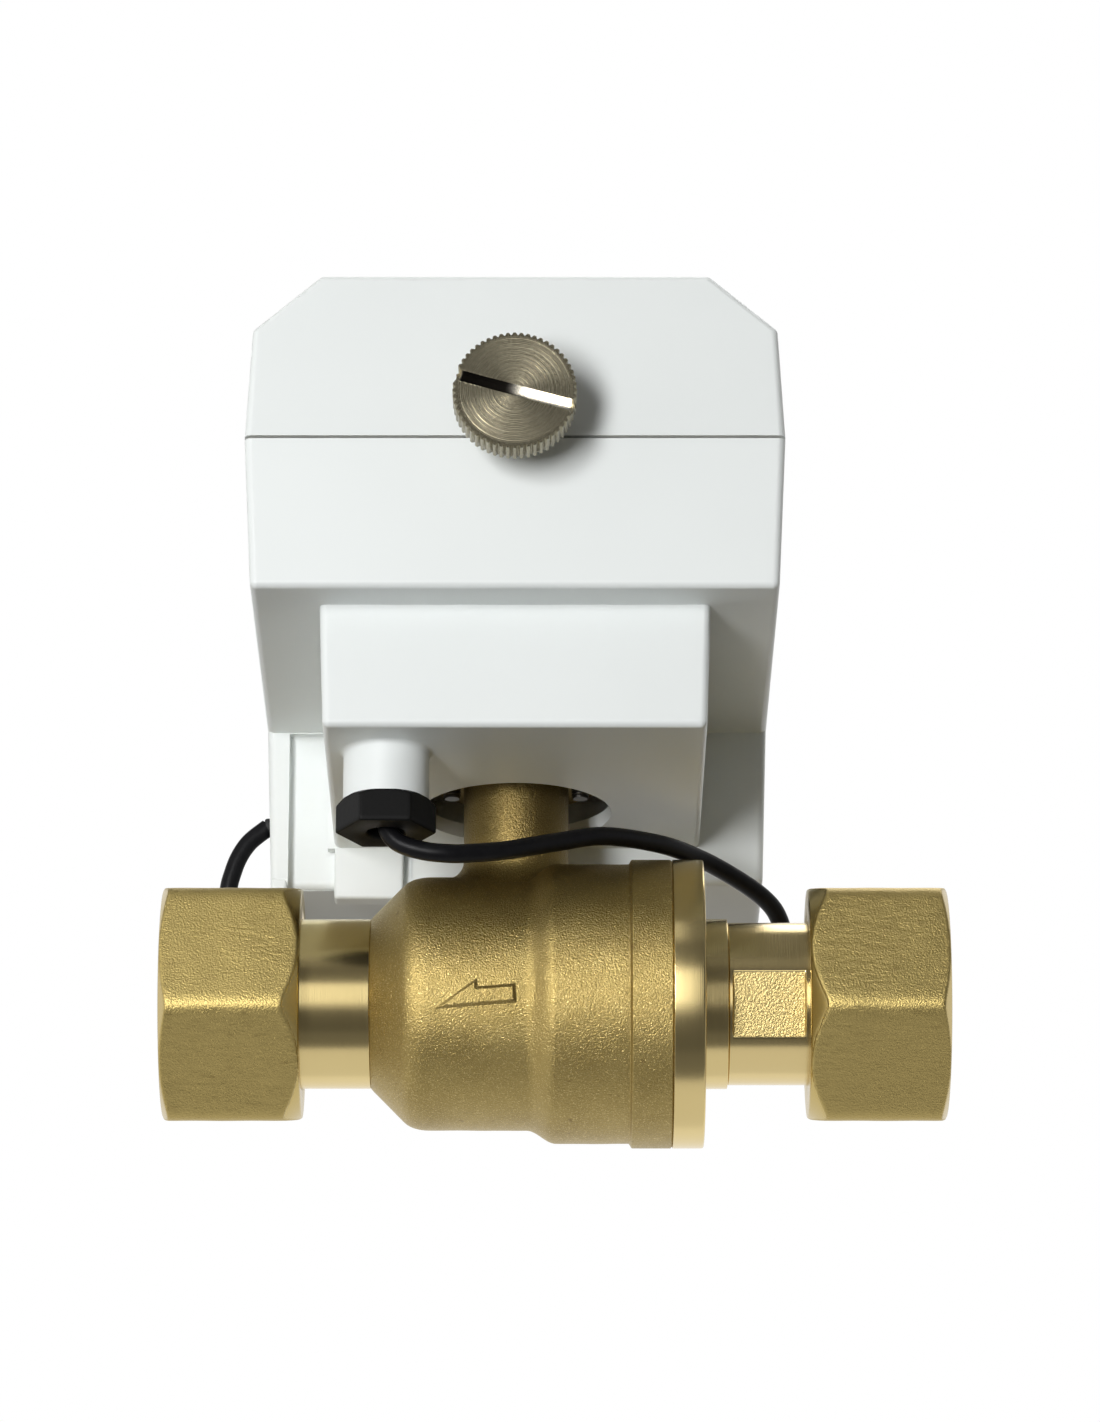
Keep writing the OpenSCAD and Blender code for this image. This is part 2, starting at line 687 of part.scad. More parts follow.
module output_gear() {
    hub_r = 9;
    hole_r = 5;
    side = drive_side + 2 * fit_gap;
    color("#e6e2d6") difference() {
        union() {
            translate([0, 0, output_z]) linear_extrude(output_face)
                rotate(idler_dir) polygon(gear_outline(output_teeth));
            translate([0, 0, drive_z]) cylinder(r = hub_r, h = output_z - drive_z + eps);
        }
        translate([-side / 2, -side / 2, drive_z - 1]) cube([side, side, output_face + 4]);
        for (a = [30 : 60 : 330]) rotate(a) translate([(hub_r + output_pitch_r) / 2, 0, output_z - 1])
            cylinder(r = hole_r, h = output_face + 2);
    }
}

module position_magnet() {
    color("#9a9a9a") translate([0, 0, stem_top_z]) cylinder(r = journal_r + 0.5, h = magnet_t);
}

// A union nut with its shoulder's face at x = 0 and its thread's mouth at nut_len
module union_nut(r) {
    corner_r = nut_af / 2 / cos(30);
    face_r = nut_af / 2 - 0.2;
    end_len = 2.2;
    relief = nut_shoulder + nut_shoulder_gap + tail_flange_t + gasket_t + 0.2;
    difference() {
        intersection() {
            rotate([hex_turn - 90, 0, 0]) rotate([0, 90, 0]) cylinder(r = corner_r, h = nut_len, $fn = 6);
            turned([[0, 0], [0, face_r], [end_len, corner_r + 0.1], [nut_len - end_len, corner_r + 0.1],
                [nut_len, face_r], [nut_len, 0]]);
        }
        along_x(-1, nut_len, r + run_gap);
        along_x(nut_shoulder, relief, nut_thread_d / 2 + 0.5);
        along_x(relief - eps, nut_len + 1, nut_thread_d / 2);
    }
}

module outlet_nut() {
    color("#ae924f") translate([outlet_nut_x, 0, 0]) mirror([1, 0, 0]) union_nut(outlet_tail_r);
}

module inlet_nut() {
    color("#ae924f") translate([inlet_nut_x, 0, 0]) union_nut(inlet_tail_r);
}

// The base's three joined boxes, drawn in by inset to make the cavity
module base_boxes(inset, cavity) {
    top = cavity ? 1 : 0;
    r = cavity ? edge_r / 2 : edge_r;
    lift = cavity ? wall : 0;
    rear_gap = cavity ? rear_wall : 0;
    block_back = cavity ? rear_front - rear_wall : rear_front + rear_wall / 2;
    moulding([deck_z + lift, base_top_z + top], [base_w / 2 - inset, case_w / 2 - inset],
        [base_front - inset, case_front - inset], [base_back - inset, case_back - inset], r, !cavity);
    moulding([block_z + lift, deck_floor_z + top], [block_w / 2 - block_draft - inset, block_w / 2 - inset],
        [block_front - inset, block_front - inset], [block_back, block_back], r, !cavity);
    moulding([rear_z + lift, deck_floor_z + top], [base_w / 2 - rear_draft - inset, base_w / 2 - inset],
        [-rear_front - rear_gap, -rear_front - rear_gap],
        [base_back - rear_draft - inset, base_back - inset], r, !cavity);
}

// Opening for the inset cover, or with a gap taken off, the cover's own plate
module cover_outline(gap) {
    step_x = -block_w / 2 - 0.4;
    translate([cover_left + gap, 0, rear_z]) cube([step_x - cover_left - 2 * gap, 1, cover_top - rear_z - gap]);
    translate([cover_left + gap, 0, rear_z])
        cube([cover_right - cover_left - 2 * gap, 1, block_z - rear_z - gap]);
}

module seal_frame(z, h, width) {
    set_in = (wall - width) / 2;
    translate([0, 0, z]) linear_extrude(h) difference() {
        translate([set_in - case_w / 2, set_in - case_front])
            square([case_w - 2 * set_in, case_front + case_back - 2 * set_in]);
        translate([set_in + width - case_w / 2, set_in + width - case_front])
            square([case_w - 2 * (set_in + width), case_front + case_back - 2 * (set_in + width)]);
    }
}

module base_housing() {
    cover_back = cover_face + cover_t;
    color("#eceff0") {
        difference() {
            union() {
                base_boxes(0, false);
                translate([gland_x, gland_y, gland_nut_z]) cylinder(d = gland_boss_d, h = gland_boss_len + 1);
            }
            base_boxes(wall, true);
            translate([0, 0, block_z - 1]) cylinder(r = neck_hole_r, h = wall + 2);
            translate([gland_x, gland_y, gland_nut_z - 1]) {
                cylinder(r = gland_spigot_r + fit_gap, h = gland_spigot_len + 1.1);
                cylinder(r = gland_bore_r, h = gland_boss_len + wall + 2);
            }
            translate([0, rear_front - 0.5, 0]) scale([1, cover_back - rear_front + 0.5, 1]) cover_outline(0);
            translate([0, rear_front - 0.5, rear_z - 1])
                translate([cover_left, 0, 0]) cube([cover_right - cover_left, cover_back - rear_front + 0.5, 2]);
            translate([-base_w / 2 - 2, grommet_y, grommet_z]) rotate([0, 90, 0])
                cylinder(r = grommet_r + fit_gap, h = wall + 4);
            seal_frame(base_top_z - seal_sink, seal_sink + 1, seal_w + 2 * fit_gap);
            translate([0, 0, gear_floor_z]) cylinder(r = gear_room_r, h = idler_z - gear_floor_z);
        }
        plate_post_rise();
        board_post_rise();
        screw_boss();
        cover_ledges();
    }
}

module plate_post_rise() {
    for (p = plate_posts) translate([p[0], p[1], block_floor_z - 1]) difference() {
        cylinder(r = post_r, h = lower_plate_z - block_floor_z + 1);
        translate([0, 0, 2]) cylinder(r = plate_screw_r + fit_gap, h = lower_plate_z - block_floor_z);
    }
}

module board_post_rise() {
    for (p = board_posts) translate([p[0], p[1], deck_floor_z - 1]) difference() {
        cylinder(r = post_r, h = board_post_h + 1);
        translate([0, 0, 3]) cylinder(r = board_screw_r + fit_gap, h = board_post_h);
    }
}

// Boss behind the lid's front that holds the thumb screw's insert
module screw_boss() {
    top = screw_z + insert_od_r + 2.5;
    difference() {
        union() {
            translate([-boss_x, -boss_front, deck_floor_z - 1])
                cube([2 * boss_x, boss_depth, top - deck_floor_z + 1]);
            translate([-boss_x, 0.5 - base_front, deck_floor_z - 1])
                cube([2 * boss_x, base_front - boss_front, base_top_z - 4 - deck_floor_z]);
        }
        translate([0, 0, screw_z]) {
            along_y(-boss_front - 1, boss_depth - boss_front - 0.4, insert_od_r + fit_gap);
            along_y(-boss_front - 1, boss_depth - boss_front + 1, screw_r + free_gap);
        }
    }
}

// Ledges that the inset cover's plate rests against
module cover_ledges() {
    y = cover_face + cover_t;
    z = rear_z + wall - 1;
    translate([cover_left - ledge_over, y, z]) cube([ledge_over + ledge_w, ledge_w, cover_top - z]);
    translate([cover_right - ledge_w, y, z]) cube([2 * ledge_w, ledge_w, block_z - z]);
    translate([cover_right + free_gap, cover_face - 0.5, z])
        cube([ledge_w, y + ledge_w - cover_face + 0.5, block_z - z]);
}

module inset_cover() {
    color("#e9eced") {
        translate([0, cover_face, 0]) scale([1, cover_t, 1]) cover_outline(cover_gap);
        translate([lug_right - lug_w, lug_face, rear_z - lug_drop])
            cube([lug_w, cover_face - lug_face + cover_t, lug_drop + block_z - rear_z - 2 * cover_gap]);
    }
}

// A gear plate with its stem, pin and post holes
module gear_plate(z, t, stem_hole_r) {
    difference() {
        translate([-plate_x, -plate_front, z]) cube([2 * plate_x, plate_front + plate_back, t]);
        translate([0, 0, z - 1]) cylinder(r = stem_hole_r, h = t + 2);
        translate([idler_at[0], idler_at[1], z - 1]) cylinder(r = pin_d / 2 + fit_gap, h = t + 2);
        for (p = plate_posts) translate([p[0], p[1], z - 1]) cylinder(r = plate_screw_r + fit_gap, h = t + 2);
    }
}

module lower_gear_plate() {
    lead_hole_r = 4;
    color("#9fa3a6") difference() {
        gear_plate(lower_plate_z, lower_plate_t, stem_r + free_gap);
        for (a = [0 : 90 : 270]) rotate(a) translate([flange_screw_pcd / 2, 0, lower_plate_z - 1])
            cylinder(r = flange_screw_r + fit_gap, h = lower_plate_t + 2);
        translate([gland_x, gland_y, lower_plate_z - 1]) cylinder(r = lead_hole_r, h = lower_plate_t + 2);
    }
}

module upper_gear_plate() {
    color("#9fa3a6") difference() {
        gear_plate(upper_plate_z, upper_plate_t, journal_r + run_gap);
        translate([motor_at[0], motor_at[1], upper_plate_z - 1]) {
            cylinder(r = motor_shaft_r + 2, h = upper_plate_t + 2);
            for (s = [-1, 1]) translate([0, s * motor_screw_reach, 0])
                cylinder(r = motor_screw_r + fit_gap, h = upper_plate_t + 2);
        }
    }
}

module plate_spacers() {
    color("#c7c9ca") for (p = plate_posts) translate([p[0], p[1], 0])
        ring_z(gear_floor_z, plate_space, post_r, plate_screw_r + fit_gap);
}

module plate_screws() {
    foot = 2;
    len = plate_top_z - block_floor_z - foot;
    color("#b9b9b4") for (p = plate_posts) translate([p[0], p[1], 0])
        screw_down(plate_top_z, plate_screw_r, len, plate_head_r, plate_head_h);
}

module idler_pin() {
    color("#b9b9b4") translate([idler_at[0], idler_at[1], lower_plate_z])
        cylinder(d = pin_d, h = plate_top_z - lower_plate_z);
}

module idler_gear() {
    hub_r = pinion_pitch_r - 1.5 * gear_m;
    low = gear_floor_z + free_gap;
    color("#e6e2d6") translate([idler_at[0], idler_at[1], 0]) difference() {
        union() {
            translate([0, 0, low]) cylinder(r = hub_r, h = upper_plate_z - free_gap - low);
            translate([0, 0, output_z]) linear_extrude(output_face)
                rotate(idler_dir + 180 + 180 / pinion_teeth) polygon(gear_outline(pinion_teeth));
            translate([0, 0, idler_z]) linear_extrude(idler_face)
                rotate(motor_dir) polygon(gear_outline(idler_teeth));
        }
        translate([0, 0, low - 1]) cylinder(r = pin_d / 2 + run_gap, h = plate_space + 2);
    }
}

module motor() {
    cap_r = 5;
    shaft_depth = 10;
    color("#b4b6b8") translate([motor_at[0], motor_at[1], plate_top_z]) difference() {
        union() {
            cylinder(d = motor_d, h = motor_len);
            translate([0, 0, motor_len - eps]) cylinder(r = cap_r, h = 2);
        }
        translate([0, 0, -1]) cylinder(r = motor_shaft_r + run_gap, h = shaft_depth + 1);
        for (s = [-1, 1]) translate([0, s * motor_screw_reach, -1])
            cylinder(r = motor_screw_r + fit_gap, h = 6);
    }
}

module motor_screws() {
    bite = 4;
    head_r = 2.1;
    head_h = 1.4;
    color("#b9b9b4") translate([motor_at[0], motor_at[1], upper_plate_z]) for (s = [-1, 1])
        translate([0, s * motor_screw_reach, 0]) mirror([0, 0, 1])
            screw_down(0, motor_screw_r, upper_plate_t + bite, head_r, head_h);
}

module motor_pinion() {
    color("#c8b070") translate([motor_at[0], motor_at[1], idler_z]) {
        linear_extrude(idler_face) rotate(motor_dir + 180 + 180 / pinion_teeth) polygon(gear_outline(pinion_teeth));
        translate([0, 0, -0.5]) cylinder(r = motor_shaft_r, h = plate_top_z + 8 - idler_z);
    }
}

module control_board() {
    color("#2f6b3f") difference() {
        translate([-board_w / 2, board_back - board_l, board_z]) cube([board_w, board_l, board_t]);
        for (p = board_posts) translate([p[0], p[1], board_z - 1])
            cylinder(r = board_screw_r + fit_gap, h = board_t + 2);
    }
}

module board_screws() {
    bite = 6;
    head_r = 2.6;
    head_h = 2;
    color("#b9b9b4") for (p = board_posts) translate([p[0], p[1], 0])
        screw_down(board_top, board_screw_r, board_t + bite, head_r, head_h);
}

module radio_module() {
    can_l = radio_w + 4;
    can_h = 2.8;
    aerial = [radio_w - 4, 5, 1];
    color("#c4c6c8") translate([board_w / 2 - 11 - radio_w, board_back - can_l - aerial[1] - 2, board_top]) {
        cube([radio_w, can_l, can_h]);
        translate([2, can_l - eps, 0]) cube(aerial);
    }
}

module capacitors() {
    gap = 4;
    color("#3a4658") for (i = [0, 1])
        translate([-i * (capacitor_d + gap), board_back - capacitor_d - gap, board_top])
            cylinder(d = capacitor_d, h = capacitor_h);
}

module terminal_block() {
    ways = 4;
    depth = 8;
    height = 10;
    screw_hole_r = 1.8;
    color("#3f7d54") translate([9 - board_w / 2, board_back - board_l + 1.5, board_top]) difference() {
        cube([ways * terminal_pitch, depth, height]);
        for (i = [0 : ways - 1]) translate([(i + 0.5) * terminal_pitch, depth / 2, height - 4])
            cylinder(r = screw_hole_r, h = 5);
    }
}

module hall_sensor() {
    size = [4, 3, 1.6];
    color("#26282a") translate([-size[0] / 2, -size[1] / 2, board_z - size[2]]) cube(size);
}

// Places of the battery cells along the rear compartment
function cell_x(i) = (i - (cells - 1) / 2) * cell_pitch;

module battery_holder() {
    holder_w = cells * cell_pitch + 0.6;
    holder_l = cell_d + 3.6;
    holder_h = cell_len - 6;
    color("#2b2d30") difference() {
        translate([-holder_w / 2, cell_y - holder_l / 2, holder_z]) cube([holder_w, holder_l, holder_h]);
        for (i = [0 : cells - 1]) translate([cell_x(i), cell_y, holder_z + holder_floor])
            cylinder(r = cell_r + 0.2, h = holder_h);
    }
}

module battery_cells() {
    color("#b98a3a") for (i = [0 : cells - 1]) translate([cell_x(i), cell_y, cell_z]) {
        cylinder(r = cell_r, h = cell_len - nub_h);
        translate([0, 0, cell_len - nub_h - eps]) cylinder(r = nub_r, h = nub_h + eps);
    }
}

module battery_contacts() {
    strip_w = 6;
    color("#c9cbcc") {
        for (i = [0 : cells - 1]) translate([cell_x(i), cell_y, cell_z - contact_t])
            cylinder(r = 5, h = contact_t);
        for (i = [0 : 2 : cells - 1])
            translate([cell_x(i) - strip_w / 2, cell_y - strip_w / 2, cell_z + cell_len])
                cube([strip_w + (i + 1 < cells ? cell_pitch : 0), strip_w, contact_t]);
    }
}

module screw_insert() {
    color("#c9ab5e") translate([0, 0, screw_z]) difference() {
        along_y(-boss_front, insert_len - boss_front, insert_od_r);
        along_y(-boss_front - 1, insert_len - boss_front + 1, screw_r + run_gap);
    }
}

module lid_seal() {
    color("#2a2a2a") seal_frame(base_top_z - seal_sink, seal_top - base_top_z + seal_sink, seal_w);
}

// The lid's form with its two long chamfers, drawn in by inset to make the cavity
module lid_form(inset) {
    r = inset > 0 ? edge_r / 2 : edge_r;
    slant = inset * tan(22.5);
    x = [case_w / 2 - inset, case_w / 2 - lid_draft - inset, case_w / 2 - lid_draft - lid_chamfer - slant];
    z = [lid_bottom_z - (inset > 0 ? 1 : 0), lid_top_z - lid_chamfer - slant, lid_top_z - inset - r];
    hull() for (sx = [-1, 1], side = [-1, 1], k = [0 : 2]) {
        lean = lid_draft * (z[k] - lid_bottom_z) / lid_h;
        y = side * ((side < 0 ? case_front : case_back) - lean - inset - r);
        translate([sx * (x[k] - r), y, z[k]])
            if (k == 0) cylinder(r = r, h = eps, $fn = hull_fn);
            else sphere(r = r, $fn = hull_fn);
    }
}

module lid() {
    notch_r = screw_r + 0.5;
    color("#f0f3f4") difference() {
        lid_form(0);
        lid_form(wall);
        translate([0, 0, screw_z]) along_y(-case_front - 1, 2 * wall - case_front, notch_r);
        translate([-notch_r, -case_front - 1, lid_bottom_z - 1])
            cube([2 * notch_r, 2 * wall + 1, screw_z - lid_bottom_z + 1]);
    }
}

module screw_washer() {
    color("#d9d9d4") translate([0, 0, screw_z]) difference() {
        along_y(washer_face - washer_t, washer_face, washer_r);
        along_y(washer_face - washer_t - 1, washer_face + 1, screw_r + run_gap);
    }
}

// Knurled head, seen from the front, with straight ribs
module knurled_disc() {
    linear_extrude(head_t) polygon([for (i = [0 : 2 * knurls - 1])
        let (a = i * 180 / knurls, r = head_d / 2 - (i % 2 == 0 ? 0 : knurl_depth)) r * [cos(a), sin(a)]]);
}

module thumb_screw() {
    shank_end = insert_len - boss_front + 2;
    collar_front = screw_collar_y - screw_collar_len;
    color("#b3aea0") translate([0, 0, screw_z]) difference() {
        union() {
            translate([0, collar_front + eps, 0]) rotate([90, 0, 0]) knurled_disc();
            along_y(collar_front, screw_collar_y, screw_collar_d / 2);
            along_y(screw_collar_y - eps, shank_end, screw_r);
        }
        translate([0, collar_front - head_t, 0]) rotate([0, slot_turn, 0])
            translate([-head_d, -1, -slot_w / 2]) cube([2 * head_d, slot_depth + 1, slot_w]);
    }
}

module gland_nut() {
    color("#1c1e20") translate([gland_x, gland_y, 0]) difference() {
        union() {
            translate([0, 0, gland_nut_z - gland_hex_h])
                cylinder(r = gland_af / 2 / cos(30), h = gland_hex_h, $fn = 6);
            translate([0, 0, gland_nut_z - eps]) cylinder(r = gland_spigot_r, h = gland_spigot_len);
        }
        translate([0, 0, gland_nut_z - gland_hex_h - 1])
            cylinder(d = gland_hole_d, h = gland_hex_h + gland_spigot_len + 2);
    }
}

module gland_seal() {
    color("#141516") translate([gland_x, gland_y, gland_seal_z])
        cylinder(r = gland_hole_d / 2 - fit_gap, h = gland_nut_z + gland_spigot_len - gland_seal_z);
}

module lead_grommet() {
    lip_t = grommet_lip - 0.2;
    color("#141516") translate([grommet_face_x, grommet_y, grommet_z]) rotate([0, 90, 0]) {
        cylinder(r = grommet_r + 0.8, h = lip_t);
        translate([0, 0, lip_t - eps]) cylinder(r = grommet_r, h = wall + 1);
    }
}

module lead() {
    color("#151719") tube(curve(lead_route, lead_steps), lead_r, lead_sides);
}

valve_body();
end_connector();
outlet_tail();
inlet_tail();
outlet_gasket();
inlet_gasket();
seat_rings();
body_o_ring();
thrust_washer();
flange_screws();
ball();
stem();
stem_o_rings();
output_gear();
position_magnet();
outlet_nut();
inlet_nut();
base_housing();
inset_cover();
lower_gear_plate();
upper_gear_plate();
plate_spacers();
plate_screws();
idler_pin();
idler_gear();
motor();
motor_screws();
motor_pinion();
control_board();
board_screws();
radio_module();
capacitors();
terminal_block();
hall_sensor();
battery_holder();
battery_cells();
battery_contacts();
screw_insert();
lid_seal();
lid();
screw_washer();
thumb_screw();
gland_nut();
gland_seal();
lead_grommet();
lead();
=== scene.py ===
import math

import bmesh
import bpy
import numpy as np
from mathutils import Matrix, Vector


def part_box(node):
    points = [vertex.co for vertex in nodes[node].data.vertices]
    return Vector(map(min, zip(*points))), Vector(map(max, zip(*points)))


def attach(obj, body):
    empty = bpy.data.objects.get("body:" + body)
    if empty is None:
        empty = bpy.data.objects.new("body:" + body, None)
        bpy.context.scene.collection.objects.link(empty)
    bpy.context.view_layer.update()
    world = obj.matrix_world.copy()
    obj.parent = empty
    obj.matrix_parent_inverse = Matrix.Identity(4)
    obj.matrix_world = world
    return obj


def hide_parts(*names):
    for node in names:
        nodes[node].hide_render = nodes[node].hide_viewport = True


# Looks of a smart water valve: a brass ball valve with two union nuts, turned by a geared motor in a
# white moulded housing. Shapes are written in millimetres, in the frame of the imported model.
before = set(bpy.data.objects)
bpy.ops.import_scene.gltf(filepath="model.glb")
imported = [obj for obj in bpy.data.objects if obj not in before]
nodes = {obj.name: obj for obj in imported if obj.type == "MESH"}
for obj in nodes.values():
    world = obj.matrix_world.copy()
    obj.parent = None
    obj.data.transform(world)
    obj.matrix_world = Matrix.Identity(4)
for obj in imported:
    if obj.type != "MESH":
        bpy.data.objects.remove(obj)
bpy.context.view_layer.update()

MM = 0.001
WELD = 2e-6
FULL_TURN = 2 * np.pi


def span(node):
    """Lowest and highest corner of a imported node, in millimetres."""
    low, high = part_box(node)
    return np.array(low) / MM, np.array(high) / MM


# Driving sizes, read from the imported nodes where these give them
BODY_LOW, BODY_HIGH = span("valve_body")
FLANGE_LOW, FLANGE_HIGH = span("end_connector")
INLET_LOW, INLET_HIGH = span("inlet_tail")
OUTLET_LOW = span("outlet_tail")[0]
INLET_NUT_LOW, INLET_NUT_HIGH = span("inlet_nut")
OUTLET_NUT_LOW, OUTLET_NUT_HIGH = span("outlet_nut")
SCREW_LOW, SCREW_HIGH = span("thumb_screw")
GLAND_LOW, GLAND_HIGH = span("gland_nut")
COVER_LOW, COVER_HIGH = span("inset_cover")
GROMMET_LOW, GROMMET_HIGH = span("lead_grommet")
FLANGE_SCREWS_HIGH = span("flange_screws")[1]
SCREW_Z = (SCREW_LOW[2] + SCREW_HIGH[2]) / 2
GLAND_CENTRE = (GLAND_LOW + GLAND_HIGH)[:2] / 2

BORE_R = 12.5
THREAD_POCKET_R = 14.85
OUTLET_THREAD_X = -20.0
BARREL_R = 25.2
WIDE_R = 27.8
RING_R = 28.7
BODY_END_R = 17.0
CONE_R = 23.5
HEX_TURN = math.radians(17)
OUTLET_TAIL_R = 16.85
INLET_TAIL_R = 16.15
TAIL_FLANGE_R = 18.9
TAIL_FLANGE_T = 3.7
TAIL_THREAD_R = 14.8
NUT_CLEARANCE = 0.06
FLAT_FROM = FLANGE_HIGH[0] + 0.7
FLAT_TO = FLANGE_HIGH[0] + 15.3
SCREW_FACE_R = 11.2
SLOT_DEPTH = 2.5


# Surfaces

def quads(rows, cols, around, along, first):
    """Corner indices of a grid's quads. around joins the last column to the first one, along the last row."""
    index = np.arange(rows * cols).reshape(rows, cols) + first
    if around:
        index = np.hstack([index, index[:, :1]])
    if along:
        index = np.vstack([index, index[:1]])
    corners = [index[:-1, :-1], index[:-1, 1:], index[1:, 1:], index[1:, :-1]]
    return np.stack(corners, axis=-1).reshape(-1, 4)


def piece(name, patches, body, material, replaces=(), sharp=35, marks=None):
    """One object from grids of points in millimetres: each patch is (points, around, along).

    The grids are welded where they meet, their faces turned outwards, and edges steeper than `sharp`
    degrees stay crisp. marks holds one number per point, which the shader reads as "mark"."""
    points, faces, first = [], [], 0
    for grid, around, along in patches:
        rows, cols = grid.shape[:2]
        faces.append(quads(rows, cols, around, along, first))
        points.append(grid.reshape(-1, 3))
        first += rows * cols
    points = np.concatenate(points) * MM
    faces = np.concatenate(faces)
    mesh = bpy.data.meshes.new(name)
    mesh.vertices.add(len(points))
    mesh.vertices.foreach_set("co", points.ravel())
    mesh.loops.add(faces.size)
    mesh.loops.foreach_set("vertex_index", faces.ravel())
    mesh.polygons.add(len(faces))
    mesh.polygons.foreach_set("loop_start", np.arange(0, faces.size, 4))
    mesh.update(calc_edges=True)
    if marks is not None:
        mesh.attributes.new("mark", "FLOAT", "POINT").data.foreach_set("value", marks.ravel())
    shell = bmesh.new()
    shell.from_mesh(mesh)
    bmesh.ops.remove_doubles(shell, verts=shell.verts, dist=WELD)
    bmesh.ops.dissolve_degenerate(shell, edges=shell.edges, dist=WELD / 4)
    bmesh.ops.recalc_face_normals(shell, faces=shell.faces)
    shell.to_mesh(mesh)
    shell.free()
    mesh.shade_smooth()
    mesh.set_sharp_from_angle(angle=math.radians(sharp))
    mesh.materials.append(material)
    made = bpy.data.objects.new(name, mesh)
    bpy.context.scene.collection.objects.link(made)
    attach(made, body)
    if replaces:
        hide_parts(*replaces)
    return made


def graded(*stops):
    """Numbers from stop to stop: each stop is (value, steps up to the next one), the last one a value."""
    runs = [np.linspace(a[0], b[0], a[1], endpoint=False) for a, b in zip(stops, stops[1:])]
    return np.concatenate(runs + [[stops[-1][0]]])


def eased(t):
    """0 below 0, 1 above 1, and the smooth cubic 3t^2 - 2t^3 between."""
    t = np.clip(t, 0, 1)
    return t * t * (3 - 2 * t)


def softened(corners, cut, steps=5):
    """A closed outline with each corner replaced by a parabola that starts and ends `cut` away from it."""
    p = np.asarray(corners, float)
    cut = np.broadcast_to(np.asarray(cut, float), (len(p),))[:, None]
    t = np.linspace(0, 1, steps)[None, :, None]

    def towards(q):
        side = q - p
        length = np.linalg.norm(side, axis=1, keepdims=True)
        return p + side / length * np.minimum(cut, 0.45 * length)

    start, end = towards(np.roll(p, 1, axis=0)), towards(np.roll(p, -1, axis=0))
    arc = (1 - t) ** 2 * start[:, None] + 2 * t * (1 - t) * p[:, None] + t ** 2 * end[:, None]
    return arc.reshape(-1, 2)


def joined(angles, *runs):
    """One grid of station by angle from runs that are such grids, or columns that hold at every angle."""
    return np.vstack([run if run.ndim == 2 else run[:, None] + 0 * angles for run in runs])


def about_x(x, r, angles):
    """Points at (x, r) swung about the pipe: angle 0 is straight up and a quarter turn is the front.

    x and r are columns of stations, or whole grids of station by angle."""
    x, r = joined(angles, x), joined(angles, r)
    return np.stack([x, -r * np.sin(angles), r * np.cos(angles)], axis=-1)


def about_z(r, z, angles, centre=(0.0, 0.0)):
    """Points at (r, z) swung about an upright axis through centre."""
    r, z = joined(angles, r), joined(angles, z)
    return np.stack([centre[0] + r * np.cos(angles), centre[1] + r * np.sin(angles), z], axis=-1)


def turned(corners, cut, cols=180):
    """A ring turned on a lathe: the softened closed outline of (x, r) corners swung about the pipe."""
    outline = softened(corners, cut)
    return about_x(outline[:, 0], outline[:, 1], np.linspace(0, FULL_TURN, cols, endpoint=False))


def hexagon(angles, across, corner_angle, sharpness):
    """Radius of a hexagon with round corners.

    It is half of `across` over the p-norm of the cosines to its faces, with p the sharpness."""
    faces = corner_angle + np.radians(np.arange(30, 390, 60))
    cosines = np.clip(np.cos(angles[:, None] - faces), 0, 1)
    return across / 2 / (cosines ** sharpness).sum(axis=1) ** (1 / sharpness)


def rounded_block(low, high, r, steps=6):
    """A box with round edges: directions n over a sphere, carried out to sign(n) (half - r) + r n.

    The first and last row are drawn in to the middle of the faces below and above."""
    low, high = np.array(low, float), np.array(high, float)
    quarter = np.linspace(0, np.pi / 2, steps)
    lon = np.concatenate([quarter + k * np.pi / 2 for k in range(4)])
    lat = np.concatenate([quarter[:1] - np.pi / 2, quarter - np.pi / 2, quarter, quarter[-1:]])[:, None]
    n = np.stack([np.cos(lat) * np.cos(lon), np.cos(lat) * np.sin(lon), np.sin(lat) + 0 * lon], axis=-1)
    spread = np.ones((len(lat), 1))
    spread[[0, -1]] = 0
    signs = np.stack([spread * np.repeat([1, -1, -1, 1], steps), spread * np.repeat([1, 1, -1, -1], steps),
                      np.repeat([-1, 1], steps + 1)[:, None] + 0 * lon], axis=-1)
    return (low + high) / 2 + signs * ((high - low) / 2 - r) + r * n


def soft_least(a, b, softness):
    """The lesser of a and b, with the corner between them rounded over `softness`."""
    return (a + b - np.sqrt((a - b) ** 2 + softness ** 2)) / 2


# Shader expressions

def plug(tree, socket, value):
    """Links a wire to a socket, or sets the socket's own value. A colour gets its fourth number."""
    if isinstance(value, Wire):
        tree.links.new(value.socket, socket)
    elif socket.type == "RGBA" and len(value) == 3:
        socket.default_value = (*value, 1.0)
    else:
        socket.default_value = value


